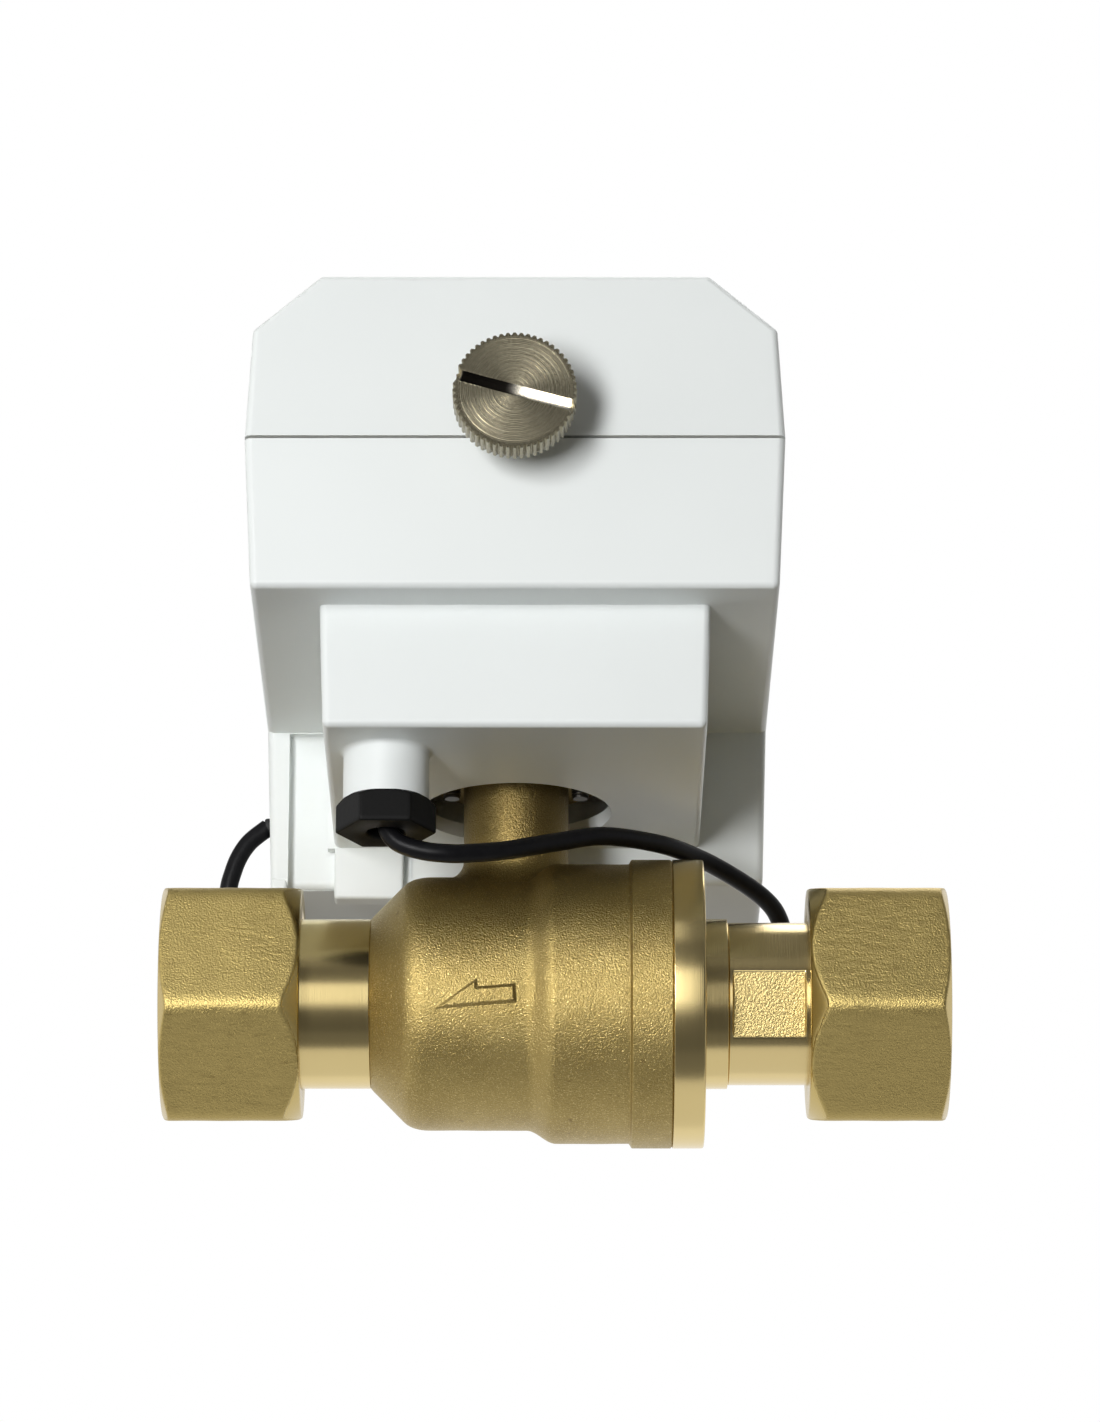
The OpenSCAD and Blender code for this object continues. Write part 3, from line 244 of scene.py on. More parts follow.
class Wire:
    """A node's output in an expression: each operator adds a Math node, and add() any other node."""

    def __init__(self, tree, socket=None):
        self.tree = tree
        self.socket = socket

    def add(self, kind, settings=None, sockets=None, out=0):
        """Adds a node: its type, its settings, the values or wires of its sockets, and the output wanted."""
        node = self.tree.nodes.new(kind)
        for name, value in (settings or {}).items():
            setattr(node, name, value)
        for name, value in (sockets or {}).items():
            plug(self.tree, node.inputs[name], value)
        return Wire(self.tree, node.outputs[out] if node.outputs else None)

    def maths(self, operation, *values):
        return self.add("ShaderNodeMath", {"operation": operation}, dict(enumerate(values)))

    def __add__(self, other):
        return self.maths("ADD", self, other)

    def __sub__(self, other):
        return self.maths("SUBTRACT", self, other)

    def __rsub__(self, other):
        return self.maths("SUBTRACT", other, self)

    def __mul__(self, other):
        return self.maths("MULTIPLY", self, other)

    def __pow__(self, other):
        return self.maths("POWER", self, other)

    __radd__ = __add__
    __rmul__ = __mul__

    def greatest(self, other):
        return self.maths("MAXIMUM", self, other)

    def least(self, other):
        return self.maths("MINIMUM", self, other)

    def sine(self):
        return self.maths("SINE", self)

    def above(self, limit):
        """1 where this is greater than `limit` and 0 elsewhere."""
        return self.maths("GREATER_THAN", self, limit)

    def between(self, low, high):
        """0 where this is at `low`, 1 at `high`, smooth between and level beyond."""
        settings = {"interpolation_type": "SMOOTHSTEP"}
        return self.add("ShaderNodeMapRange", settings, {0: self, 1: low, 2: high})

    def tint(self, low, high):
        """The colour low where this is 0 and high where it is 1."""
        return self.add("ShaderNodeMix", {"data_type": "RGBA"}, {0: self, 6: low, 7: high}, 2)

    def noise(self, scale, detail=2.0, roughness=0.5):
        """Noise at this place, with `scale` grains to a metre."""
        return self.add("ShaderNodeTexNoise", {}, {
            "Vector": self, "Scale": scale, "Detail": detail, "Roughness": roughness})

    def stretched(self, scale):
        """This place with each axis multiplied by its own scale."""
        return self.add("ShaderNodeMapping", {}, {"Vector": self, "Scale": scale})

    def raised(self, height, normal=None):
        """The normal of a surface lifted by this wire times `height` metres."""
        sockets = {"Height": self, "Distance": height, "Strength": 1.0}
        if normal is not None:
            sockets["Normal"] = normal
        return self.add("ShaderNodeBump", {}, sockets)

    def axis(self, name):
        return self.add("ShaderNodeSeparateXYZ", {}, {0: self}, name)


def finish(name, recipe):
    """A material: recipe takes the place on the object and gives the Principled shader's sockets."""
    made = bpy.data.materials.new(name)
    made.use_nodes = True
    tree = made.node_tree
    place = Wire(tree).add("ShaderNodeTexCoord", out="Object")
    shader = tree.nodes["Principled BSDF"]
    for socket, value in recipe(place).items():
        plug(tree, shader.inputs[socket], value)
    return made


# Finishes

def cast_brass(place):
    """Sand-cast and blasted brass: fine even grain with bright specks, slow stains, a few dark pits.

    Crown and neck are painted darker towards the top, a painted shade for the shadow of the housing above
    them."""
    grain = place.noise(2900, 2, 0.6)
    specks = place.noise(3800, 1).between(0.56, 0.72)
    stains = place.noise(70, 3).between(0.3, 0.7)
    pits = place.noise(420, 2).between(0.70, 0.77)
    # Painted shade: darker towards the crown of the barrel and up the neck.
    crown_painted_shade = place.axis("Z").between(16 * MM, 36 * MM)
    skin = specks.tint(stains.tint((0.330, 0.244, 0.084), (0.390, 0.294, 0.106)), (0.60, 0.465, 0.20))
    skin_under_painted_shade = (crown_painted_shade * 0.7).tint(skin, (0.15, 0.105, 0.036))
    return {
        "Base Color": (pits * 0.5).tint(skin_under_painted_shade, (0.18, 0.12, 0.045)),
        "Metallic": 1.0,
        "Roughness": 0.35 + 0.10 * grain - 0.12 * specks,
        "Normal": grain.raised(0.00020),
    }


def forged_brass(place):
    """Hot-forged brass: fine grain, and patches of scale marks along the pipe.

    The turned end cones, which the nut's "mark" gives, are smooth."""
    cones = place.add("ShaderNodeAttribute", {"attribute_name": "mark"}, out="Fac")
    patch = place.noise(40, 1).between(0.44, 0.60)
    scale = place.stretched((260, 620, 620)).noise(1, 3, 0.6)
    grain = place.noise(2700, 2, 0.6)
    drag = place.stretched((260, 1500, 1500)).noise(1, 2)
    forged = 1 - cones
    dark = scale.between(0.58, 0.74) * forged
    skin = cones.tint(drag.tint((0.44, 0.335, 0.120), (0.51, 0.395, 0.150)), (0.52, 0.40, 0.150))
    return {
        "Base Color": (dark * 0.45).tint(skin, (0.28, 0.20, 0.07)),
        "Metallic": 1.0,
        "Roughness": 0.26 + forged * (0.12 + 0.16 * drag),
        "Normal": (scale * patch * forged).raised(0.00020, (grain * forged).raised(0.00015)),
    }


def polished_brass(place):
    """Lathe-turned brass: bright, with hair-fine rings round the pipe."""
    rings = place.stretched((5200, 60, 60)).noise(1, 2)
    haze = place.noise(60, 2)
    return {
        "Base Color": haze.tint((0.68, 0.535, 0.245), (0.74, 0.595, 0.285)),
        "Metallic": 1.0,
        "Roughness": 0.18 + 0.07 * rings,
        "Normal": rings.raised(0.000008),
    }


def machined_brass(place):
    """Turned brass with forged skin left on the wrench flats, which lie inside the turned radius."""
    across_y = place.axis("Y")
    across_z = place.axis("Z")
    radius = (across_y * across_y + across_z * across_z) ** 0.5
    along = place.axis("X")
    edge = 0.3 * MM
    inside = 1 - radius.between((INLET_TAIL_R - 0.15) * MM, (INLET_TAIL_R - 0.05) * MM)
    start = along.between(FLAT_FROM * MM - edge / 3, FLAT_FROM * MM + 2 * edge / 3)
    end = along.between(FLAT_TO * MM - 2 * edge / 3, FLAT_TO * MM + edge / 3)
    flat = inside * start * (1 - end)
    rings = place.stretched((5200, 60, 60)).noise(1, 2)
    skin = place.noise(2500, 2, 0.6)
    return {
        "Base Color": flat.tint((0.70, 0.555, 0.265), (0.55, 0.43, 0.185)),
        "Metallic": 1.0,
        "Roughness": 0.16 + 0.07 * rings + 0.20 * flat,
        "Normal": (skin * flat).raised(0.00020, (rings * (1 - flat)).raised(0.000008)),
    }


def turned_nickel(place):
    """Dull nickel plate, with gloss in rings about the screw's axis and fine grain.

    The slot is bright, and its left half is painted near black: a painted shade where its reflection falls
    dark."""
    x = place.axis("X")
    z = place.axis("Z") - SCREW_Z * MM
    radius = (x * x + z * z) ** 0.5
    rings = radius.add("ShaderNodeTexNoise", {"noise_dimensions": "1D"}, {"W": radius * 3600, "Detail": 3.0})
    grain = place.noise(2600, 2).between(0.3, 0.7)
    depth = place.axis("Y") - SCREW_LOW[1] * MM
    floor = SLOT_DEPTH * MM
    in_slot = depth.between(0.1 * MM, 0.3 * MM) * (1 - depth.between(floor + 0.3 * MM, floor + 0.7 * MM))
    sunk = in_slot * (1 - radius.between((SCREW_FACE_R - 0.4) * MM, SCREW_FACE_R * MM))
    # Painted shade: the slot's left half is darkened to near black.
    slot_half_painted_shade = sunk * (1 - x.between(-2 * MM, 3 * MM))
    plate = sunk.tint(grain.tint((0.24, 0.212, 0.145), (0.325, 0.295, 0.208)), (0.74, 0.71, 0.64))
    return {
        "Base Color": slot_half_painted_shade.tint(plate, (0.02, 0.018, 0.015)),
        "Metallic": 1.0,
        "Roughness": 0.22 + 0.10 * rings - 0.06 * sunk,
    }


def white_moulding(place):
    """Moulded white plastic: a fine spark-eroded skin, very slightly uneven in gloss."""
    skin = place.noise(3600, 2)
    slow = place.noise(35, 2)
    return {
        "Base Color": slow.tint((0.772, 0.806, 0.802), (0.796, 0.830, 0.826)),
        "Roughness": 0.40 + 0.08 * slow,
        "Normal": skin.raised(0.000008),
    }


def black_nylon(place):
    """Moulded black nylon with a dull sheen."""
    skin = place.noise(2600, 3)
    return {
        "Base Color": skin.tint((0.004, 0.004, 0.004), (0.007, 0.007, 0.007)),
        "Specular IOR Level": 0.08,
        "Roughness": 0.42 + 0.12 * skin,
        "Normal": skin.raised(0.00002),
    }


def black_rubber(place):
    """Soft black rubber, nearly matt."""
    skin = place.noise(1800, 3)
    return {
        "Base Color": skin.tint((0.008, 0.008, 0.009), (0.018, 0.018, 0.019)),
        "Roughness": 0.62 + 0.14 * skin,
        "Normal": skin.raised(0.00003),
    }


def sheath(place):
    """Smooth black cable sheath with long soft highlights."""
    skin = place.noise(700, 3)
    return {
        "Base Color": skin.tint((0.004, 0.004, 0.005), (0.008, 0.008, 0.009)),
        "Specular IOR Level": 0.12,
        "Roughness": 0.34 + 0.10 * skin,
        "Normal": skin.raised(0.00003),
    }


def bright_steel(place):
    """Zinc-plated steel with faint rolling marks."""
    marks = place.stretched((900, 3000, 3000)).noise(1, 2)
    return {
        "Base Color": marks.tint((0.48, 0.48, 0.47), (0.60, 0.60, 0.59)),
        "Metallic": 1.0,
        "Roughness": 0.26 + 0.14 * marks,
    }


def shade_darkened_steel(place):
    """Steel with a blotchy grey film, darkened near black as painted shade for the shaded recess that the
    screw ends sit in.
    """
    film = place.noise(900, 3)
    return {
        # Painted shade: far darker than steel's own colour.
        "Base Color": film.tint((0.07, 0.066, 0.060), (0.15, 0.145, 0.135)),
        "Metallic": 1.0,
        "Roughness": 0.38 + 0.16 * film,
    }


def chrome(place):
    """Hard chrome with a trace of lapping marks."""
    marks = place.noise(2400, 2)
    return {
        "Base Color": marks.tint((0.60, 0.61, 0.62), (0.66, 0.67, 0.68)),
        "Metallic": 1.0,
        "Roughness": 0.07 + 0.05 * marks,
    }


def seat_plastic(place):
    """Waxy white seat plastic."""
    waxy = place.noise(500, 2)
    return {
        "Base Color": waxy.tint((0.78, 0.77, 0.72), (0.84, 0.83, 0.79)),
        "Roughness": 0.40 + 0.10 * waxy,
    }


def gear_plastic(place):
    """Unfilled acetal: ivory, with faint flow marks."""
    flow = place.noise(160, 3)
    return {
        "Base Color": flow.tint((0.70, 0.66, 0.56), (0.78, 0.75, 0.66)),
        "Roughness": 0.36 + 0.10 * flow,
    }


def board_green(place):
    """Printed circuit board: green mask over a lattice of copper tracks."""
    x = place.axis("X")
    y = place.axis("Y")
    wander = place.noise(90, 1)
    along = (x * 2400 + wander * 14).sine()
    across = (y * 2100 + wander * 11).sine()
    tracks = along.between(0.55, 0.7) * wander.between(0.4, 0.55)
    cross_tracks = across.between(0.6, 0.72) * (1 - wander.between(0.42, 0.5))
    copper = tracks.greatest(cross_tracks)
    return {
        "Base Color": copper.tint((0.010, 0.085, 0.030), (0.030, 0.165, 0.055)),
        "Roughness": 0.30 + 0.12 * wander,
        "Normal": copper.raised(0.00003),
    }


def plain_moulding(low, high, roughness=0.4):
    """A coloured moulding: its two shades drift over the surface with a fine skin."""
    def recipe(place):
        drift = place.noise(220, 3)
        return {
            "Base Color": drift.tint(low, high),
            "Roughness": roughness + 0.12 * drift,
            "Normal": place.noise(2600, 2).raised(0.00001),
        }
    return recipe


def cell_wrap(place):
    """Battery sleeve: copper-coloured top third over a black body."""
    copper_from = 70.5 * MM
    band = place.axis("Z").between(copper_from, copper_from + 0.4 * MM)
    wear = place.noise(260, 2)
    return {
        "Base Color": band.tint((0.012, 0.012, 0.014), (0.46, 0.22, 0.09)),
        "Roughness": 0.30 + 0.14 * wear,
        "Metallic": band * 0.6,
    }


# Valve: the cast body

def arrow_relief(x, v):
    """How far a half arrow stands out at (x, v): the depth inside the union of a wedge and a bar, eased."""
    length, bar, head, barb, raised, tilt, rise = 15.6, 3.4, 8.2, 5.0, 0.5, math.radians(4.5), 1.7
    v = v - rise
    s = (x + length) * math.cos(tilt) + v * math.sin(tilt)
    t = bar / 2 - (x + length / 2) * math.sin(tilt) + v * math.cos(tilt)
    slope = barb / head
    wedge = np.minimum(np.minimum(t, (slope * s - t) / math.hypot(1, slope)), head - s)
    shaft = np.minimum(np.minimum(t, bar - t), np.minimum(length - s, s - 0.75 * head))
    return raised * eased((np.maximum(wedge, shaft) + 0.25) / 0.8)


def body_radius(x):
    """Outside of the body along the pipe: cone, parabolic shoulder, barrel, cosine step, ring."""
    cone_x = BODY_LOW[0] + CONE_R - BODY_END_R
    bend_x = cone_x + BARREL_R - CONE_R
    shoulder = 3.5
    t = np.linspace(0, 1, 24)
    curve_x = cone_x * (1 - t) ** 2 + 2 * bend_x * t * (1 - t) + (bend_x + shoulder) * t ** 2
    curve_r = CONE_R * (1 - t) ** 2 + 2 * BARREL_R * t * (1 - t) + BARREL_R * t ** 2
    step_start, step_length = 2.0, 6.0
    ring_x, ring_rise = BODY_HIGH[0] - 8.0, 0.7
    r = np.interp(x, np.r_[BODY_LOW[0], curve_x, 0], np.r_[BODY_END_R, curve_r, BARREL_R])
    r = r + (WIDE_R - BARREL_R) * (1 - np.cos(np.pi * np.clip((x - step_start) / step_length, 0, 1))) / 2
    return r + (RING_R - WIDE_R) * eased((x - ring_x + ring_rise) / ring_rise)


def cast_waves(x, angles):
    """Slow unevenness of a casting, under a tenth of a millimetre: products of sines of length and angle."""
    first = np.sin(0.21 * x + 3 * angles) * np.sin(0.13 * x - 2 * angles + 1)
    second = np.sin(0.47 * x - 5 * angles + 2) * np.sin(0.33 * x + 7 * angles)
    return 0.045 * first + 0.03 * second


def barrel():
    """Grid of the barrel: a lathe outline with the arrow and the casting's waves added to its radius.

    The angles and stations lie closest together round the arrow and the steps."""
    front = np.pi / 2 + HEX_TURN
    arrow_low, arrow_high = math.degrees(front) - 14, math.degrees(front) + 10
    angles = np.radians(graded((-60, 100), (arrow_low, 130), (arrow_high, 66), (300,)))[:-1]
    x0, x1 = BODY_LOW[0], BODY_HIGH[0]
    arrow_from, arrow_to, step_from, step_to, ring_from, ring_to, edge = -16.6, 0.8, 2, 8, 22, 23.4, 0.4
    x = graded((x0 + 0.5, 34), (arrow_from, 130), (arrow_to, 12), (step_from, 26), (step_to, 20),
               (ring_from, 14), (ring_to, 12), (x1 - edge,))
    waves_end, waves_fade = x1 - 6, 4
    waves = cast_waves(x[:, None], angles) * eased((waves_end - x) / waves_fade)[:, None]
    r = body_radius(x)[:, None] + waves
    v = BARREL_R * (front - angles)
    r = r + arrow_relief(x[:, None], v)
    spigot_r, chamber_r, seat_r = 22.05, 20.2, 18.05
    spigot_x, chamber_x, seat_x = 18.5, -14.0, -17.0
    inner = np.array([
        [x1, RING_R - edge], [x1, spigot_r], [spigot_x, spigot_r], [spigot_x, chamber_r],
        [chamber_x, chamber_r], [chamber_x, seat_r], [seat_x, seat_r], [seat_x, BORE_R],
        [OUTLET_THREAD_X, BORE_R], [OUTLET_THREAD_X, THREAD_POCKET_R], [x0, THREAD_POCKET_R],
        [x0, BODY_END_R - 0.1]])
    return about_x(joined(angles, x, inner[:, 0]), joined(angles, r, inner[:, 1]), angles)


def neck():
    """Grid of the neck: a ring whose foot is a quarter round lifted onto the barrel's crown."""
    neck_r, fillet, stem_hole_r, flange_r, flange_t = 10.5, 4.5, 6.06, 17.5, 2.6
    stem_hole_end, root, sink, edge, cove = 23, 19, 0.12, 0.4, 1
    top = BODY_HIGH[2]
    under = top - flange_t
    round_steps = np.linspace(0, np.pi / 2, 16)[:, None]
    turn = np.linspace(0, FULL_TURN, 144, endpoint=False)
    foot_r = neck_r + fillet * (1 - np.sin(round_steps)) + 0 * turn
    crown = np.sqrt(BARREL_R ** 2 - (foot_r * np.sin(turn)) ** 2)
    foot_z = crown + fillet * (1 - np.cos(round_steps)) - sink * (1 - eased(round_steps))
    collar = np.array([
        [neck_r, under - cove], [neck_r + 0.3 * cove, under - 0.3 * cove], [neck_r + cove, under],
        [flange_r - edge, under], [flange_r, under + edge], [flange_r, top - edge],
        [flange_r - edge, top], [stem_hole_r, top], [stem_hole_r, stem_hole_end],
        [neck_r + fillet - 1, root]])
    return about_z(joined(turn, foot_r, collar[:, 0]), joined(turn, foot_z, collar[:, 1]), turn)


def valve_body():
    """Cast body: the barrel, with the neck on its crown."""
    patches = [(barrel(), True, True), (neck(), True, True)]
    return piece("cast_valve_body", patches, "valve", CAST, ["valve_body"])


# Valve: turned pieces

def end_connector():
    """Polished flange and collar: one lathe outline."""
    x0, x1 = FLANGE_LOW[0], FLANGE_HIGH[0]
    seam, flange, collar_r = BODY_HIGH[0], BODY_HIGH[0] + 6.2, 16.9
    nose_r, spigot_r, seat_r = 20, 22, 18.05
    nose_x, seat_x, thread_x = 18.8, 17, 33.3
    outline = [
        [x0, nose_r], [nose_x, nose_r], [nose_x, spigot_r], [seam, spigot_r], [seam, RING_R],
        [flange, RING_R], [flange, collar_r], [x1, collar_r], [x1, THREAD_POCKET_R],
        [thread_x, THREAD_POCKET_R], [thread_x, BORE_R], [seat_x, BORE_R], [seat_x, seat_r], [x0, seat_r]]
    cuts = [0.1, 0.1, 0.1, 0.1, 0.15, 0.55, 0.2, 0.2] + [0.1] * 6
    return piece("polished_end_connector", [(turned(outline, cuts, 240), True, True)], "valve", POLISHED,
                 ["end_connector"])


def outlet_tail():
    """Polished sleeve with the flange that the outlet nut pulls on: one lathe outline."""
    x0, seat = OUTLET_LOW[0], BODY_LOW[0]
    flange = x0 + TAIL_FLANGE_T
    outline = [
        [OUTLET_THREAD_X, BORE_R], [OUTLET_THREAD_X, TAIL_THREAD_R], [seat, TAIL_THREAD_R],
        [seat, OUTLET_TAIL_R], [flange, OUTLET_TAIL_R], [flange, TAIL_FLANGE_R], [x0, TAIL_FLANGE_R],
        [x0, BORE_R]]
    return piece("polished_outlet_tail", [(turned(outline, 0.3, 240), True, True)], "valve", POLISHED,
                 ["outlet_tail"])


def inlet_tail():
    """Sleeve with two wrench flats: the lathe outline, drawn in to the flats' distance where they are cut."""
    x0, x1 = INLET_LOW[0], INLET_HIGH[0]
    seat, flange = FLANGE_HIGH[0], x1 - TAIL_FLANGE_T
    r, across, ramp, edge = INLET_TAIL_R, 29.4, 0.35, 0.3
    angles = np.linspace(0, FULL_TURN, 480, endpoint=False)
    x = graded((seat + 0.25, 4), (FLAT_FROM - 0.1, 8), (FLAT_FROM + 0.6, 12), (FLAT_TO - 0.6, 8),
               (FLAT_TO + 0.1, 6), (flange - 0.2,))
    inside = eased((x - FLAT_FROM) / ramp) * eased((FLAT_TO - x) / ramp)
    facing = np.abs(np.cos(angles - np.pi / 2 - HEX_TURN))
    flat_r = np.minimum(r, across / 2 / np.maximum(facing, 0.5))
    waist = r + (flat_r - r) * inside[:, None]
    rest = np.array([
        [flange, TAIL_FLANGE_R - edge], [flange + edge, TAIL_FLANGE_R], [x1 - edge, TAIL_FLANGE_R],
        [x1, TAIL_FLANGE_R - edge], [x1, BORE_R + edge], [x1 - edge, BORE_R], [x0, BORE_R],
        [x0, TAIL_THREAD_R], [seat, TAIL_THREAD_R], [seat, r - 0.25]])
    stations = joined(angles, x, rest[:, 0])
    radii = joined(angles, waist, rest[:, 1])
    patches = [(about_x(stations, radii, angles), True, True)]
    return piece("machined_inlet_tail", patches, "valve", MACHINED, ["inlet_tail"], 25)


def union_nut(name, low, high, mirrored, hole_r, body, node):
    """Forged hexagon with round corners and turned end cones, bored for the tail and threaded inside.

    Outside, the radius is the soft least of the hexagon and the two cones. Inside, the thread is a
    triangle wave of (station + pitch x share of a turn), which fades out at the mouth."""
    length = high - low
    across, cone_face, shoulder_cone, mouth_cone = 46.0, 22.7, 4.0, 1.8
    shoulder_end, mouth_start, soft = 5.6, length - 3, 0.3
    corner_r = across / 2 / math.cos(math.pi / 6)
    angles = np.linspace(0, FULL_TURN, 264, endpoint=False)
    hexed = hexagon(angles, across, np.pi / 2 + HEX_TURN, 28)
    x = graded((0, 26), (shoulder_end, 14), (mouth_start, 14), (length,))
    cone = cone_face + (corner_r - cone_face) * np.minimum(x / shoulder_cone, (length - x) / mouth_cone)
    uneven = 0.05 * np.sin(0.35 * x[:, None] + 5 * angles) * np.sin(0.22 * x[:, None] - 3 * angles + 1)
    outer = soft_least(hexed[None, :] + uneven, cone[:, None] + 0 * angles, soft)
    on_cone = eased((hexed[None, :] - cone[:, None]) / soft)
    shoulder, relief, relief_r, thread_r, pitch, depth = 5.0, 11.2, 20.0, 19.5, 2.309, 1.1
    run_out, flare, inner_edge, outer_edge = 1.5, 0.5, 0.3, 0.4
    run = np.arange(length, relief + pitch, -pitch / 8)
    fade = eased((length - run) / run_out)[:, None]
    turns = (run[:, None] + pitch * angles / FULL_TURN) / pitch
    ridge = np.abs(2 * (turns - np.floor(turns)) - 1)
    thread = thread_r + depth * (1 - ridge * fade)
    bore = np.array([
        [relief, relief_r], [shoulder, relief_r], [shoulder, hole_r + inner_edge],
        [shoulder - inner_edge, hole_r], [outer_edge, hole_r], [0, hole_r + outer_edge]])
    mouth = np.array([[length, thread_r + depth + flare]])
    stations = joined(angles, x, mouth[:, 0], run, bore[:, 0])
    radii = joined(angles, outer, mouth[:, 1], thread, bore[:, 1])
    marks = np.ones(radii.shape)
    marks[:len(x)] = on_cone
    stations = high - stations if mirrored else low + stations
    patches = [(about_x(stations, radii, angles), True, True)]
    return piece(name, patches, body, FORGED, [node], 50, marks)


# Thumb screw

def thumb_screw():
    """Slotted knurled screw about the Y axis.

    The face is rays about the axis, cut off at the slot; its depth is a cosine of the radius, as turning
    leaves it, times a waver that also follows the radius. The slot's floor is a shallow arc, as a saw leaves
    it. The rim eases down from each knurl's crest (w = 0) to the valley (w = 1). Collar and shank are a lathe
    outline."""
    head_r, knurl_depth, knurls, crest, head_t, chamfer = 12.0, 0.55, 56, 0.3, 6.0, 0.15
    slot, slot_sag, slot_turn = 1.15, 0.4, math.radians(-16)
    ring_pitch, ring_depth, ring_steps, ring_fade = 0.36, 0.034, 6, 0.4
    collar_r, collar_len, shank_r, collar_root, collar_edge, tip = 6.0, 8.0, 3.0, 0.4, 0.2, 0.8
    front, tail = SCREW_LOW[1], SCREW_HIGH[1]
    face_r = SCREW_FACE_R
    gap = math.asin(slot / face_r)
    per_half, per_gap = 220, 6
    half = np.linspace(gap, np.pi - gap, per_half)
    end = np.linspace(np.pi - gap, np.pi + gap, per_gap)
    ring = np.concatenate([half[:-1], end[:-1], half[:-1] + np.pi, end[:-1] + np.pi])

    def at(u, v, y):
        c, s = math.cos(slot_turn), math.sin(slot_turn)
        return np.stack([u * c - v * s, y + 0 * u, SCREW_Z + u * s + v * c], axis=-1)

    def rim(angles):
        w = np.abs(((angles * knurls / FULL_TURN) % 1) * 2 - 1)
        return head_r - knurl_depth * eased((w - crest) / (1 - crest))

    def face_y(u, v):
        r = np.hypot(u, v)
        waver = 0.78 + 0.07 * np.sin(2.9 * r + 1) + 0.13 * np.sin(7.3 * r)
        height = ring_depth * waver * eased((face_r - r) / ring_fade)
        return front + height * (1 - np.cos(FULL_TURN * r / ring_pitch)) / 2

    def floor_y(u):
        return front + SLOT_DEPTH - slot_sag * (u / face_r) ** 2

    # Each half of the head: face, slot wall, upper rim, slot end and the rim's cut ends
    rim_rows = np.array([[0, chamfer], [chamfer, 0], [SLOT_DEPTH, 0]])
    rows = np.append(np.arange(slot, face_r, ring_pitch / ring_steps), face_r)[:, None]
    ray = np.maximum(rows, slot / np.sin(half))
    patches = []
    for start in (0, np.pi):
        a = half + start
        u, v = ray * np.cos(a), ray * np.sin(a)
        patches.append((at(u, v, face_y(u, v)), False, False))
        down = np.linspace(0, 1, 4)[:, None]
        wall_u, wall_v = u[:1] + 0 * down, v[:1] + 0 * down
        wall_top = face_y(wall_u, wall_v)
        patches.append((at(wall_u, wall_v, wall_top + (floor_y(wall_u) - wall_top) * down), False, False))
        radius = np.vstack([0 * a + face_r, rim(a) - rim_rows[:, 1:]])
        depth = np.r_[0, rim_rows[:, 0]][:, None]
        patches.append((at(radius * np.cos(a), radius * np.sin(a), front + depth + 0 * a), False, False))
        stop = end + start
        radius = np.vstack([0 * stop + face_r, rim(stop), rim(stop)])
        deep = floor_y(radius * np.cos(stop))
        deep[-1] = front + SLOT_DEPTH
        patches.append((at(radius * np.cos(stop), radius * np.sin(stop), deep), False, False))
        for corner in (half[0] + start, half[-1] + start):
            out = rim(np.array([corner])) - rim_rows[:, 1:]
            reach = face_r + (out - face_r) * np.linspace(0, 1, 3)
            deep = front + rim_rows[:, :1] + 0 * reach
            patches.append((at(reach * math.cos(corner), reach * math.sin(corner), deep), False, False))

    # Slot floor, lower rim with the head's back, and the stem
    floor_v = slot * np.linspace(-1, 1, per_gap)[:, None]
    floor_u = np.sqrt(face_r ** 2 - floor_v ** 2) * math.tan(gap) / np.tan(half)
    patches.append((at(floor_u, floor_v + 0 * floor_u, floor_y(floor_u)), False, False))
    radius = np.vstack([rim(ring), rim(ring), rim(ring) - chamfer, 0 * ring + face_r])
    depth = np.array([[SLOT_DEPTH], [head_t - chamfer], [head_t], [head_t]])
    patches.append((at(radius * np.cos(ring), radius * np.sin(ring), front + depth + 0 * ring), True, False))
    back, collar_end = front + head_t, front + head_t + collar_len
    stem = np.array([
        [face_r, back], [collar_r + collar_root, back], [collar_r, back + collar_root],
        [collar_r, collar_end - collar_edge], [collar_r - collar_edge, collar_end], [shank_r, collar_end],
        [shank_r, tail - tip], [shank_r - tip, tail], [0, tail]])
    radius, depth = stem[:, :1], stem[:, 1:]
    patches.append((at(radius * np.cos(ring), radius * np.sin(ring), depth + 0 * ring), True, False))
    return piece("knurled_thumb_screw", patches, "screw", NICKEL, ["thumb_screw"], 30)


# Gland and rear compartment

def gland_nut():
    """Black hexagon nut: round-cornered hexagon softened at both ends, with its hole and hidden spigot."""
    across, hex_h, hole_r, spigot_r, spigot = 17.0, 6.4, 3.65, 6.2, 5
    edge, soft, cone_r, cone_slope = 0.25, 0.15, 8.7, 1.4
    low = GLAND_LOW[2]
    angles = np.linspace(0, FULL_TURN, 180, endpoint=False)
    hexed = hexagon(angles, across, 0.0, 140)
    z = graded((0, 3), (edge, 6), (hex_h - 1.2, 8), (hex_h,))
    cone = cone_r + cone_slope * (hex_h - z)
    lower_edge = hexed[None, :] - edge * (1 - eased(z / edge))[:, None]
    outer = soft_least(lower_edge, cone[:, None] + 0 * angles, soft)
    rest = np.array([
        [spigot_r, hex_h], [spigot_r, hex_h + spigot], [hole_r, hex_h + spigot], [hole_r, 0.6],
        [hole_r + 0.15, 0.25], [hole_r + 0.5, 0.0]])
    radii = joined(angles, outer, rest[:, 0])
    heights = low + joined(angles, z, rest[:, 1])
    patches = [(about_z(radii, heights, angles, GLAND_CENTRE), True, True)]
    return piece("black_gland_nut", patches, "valve", NYLON, ["gland_nut"], 40)


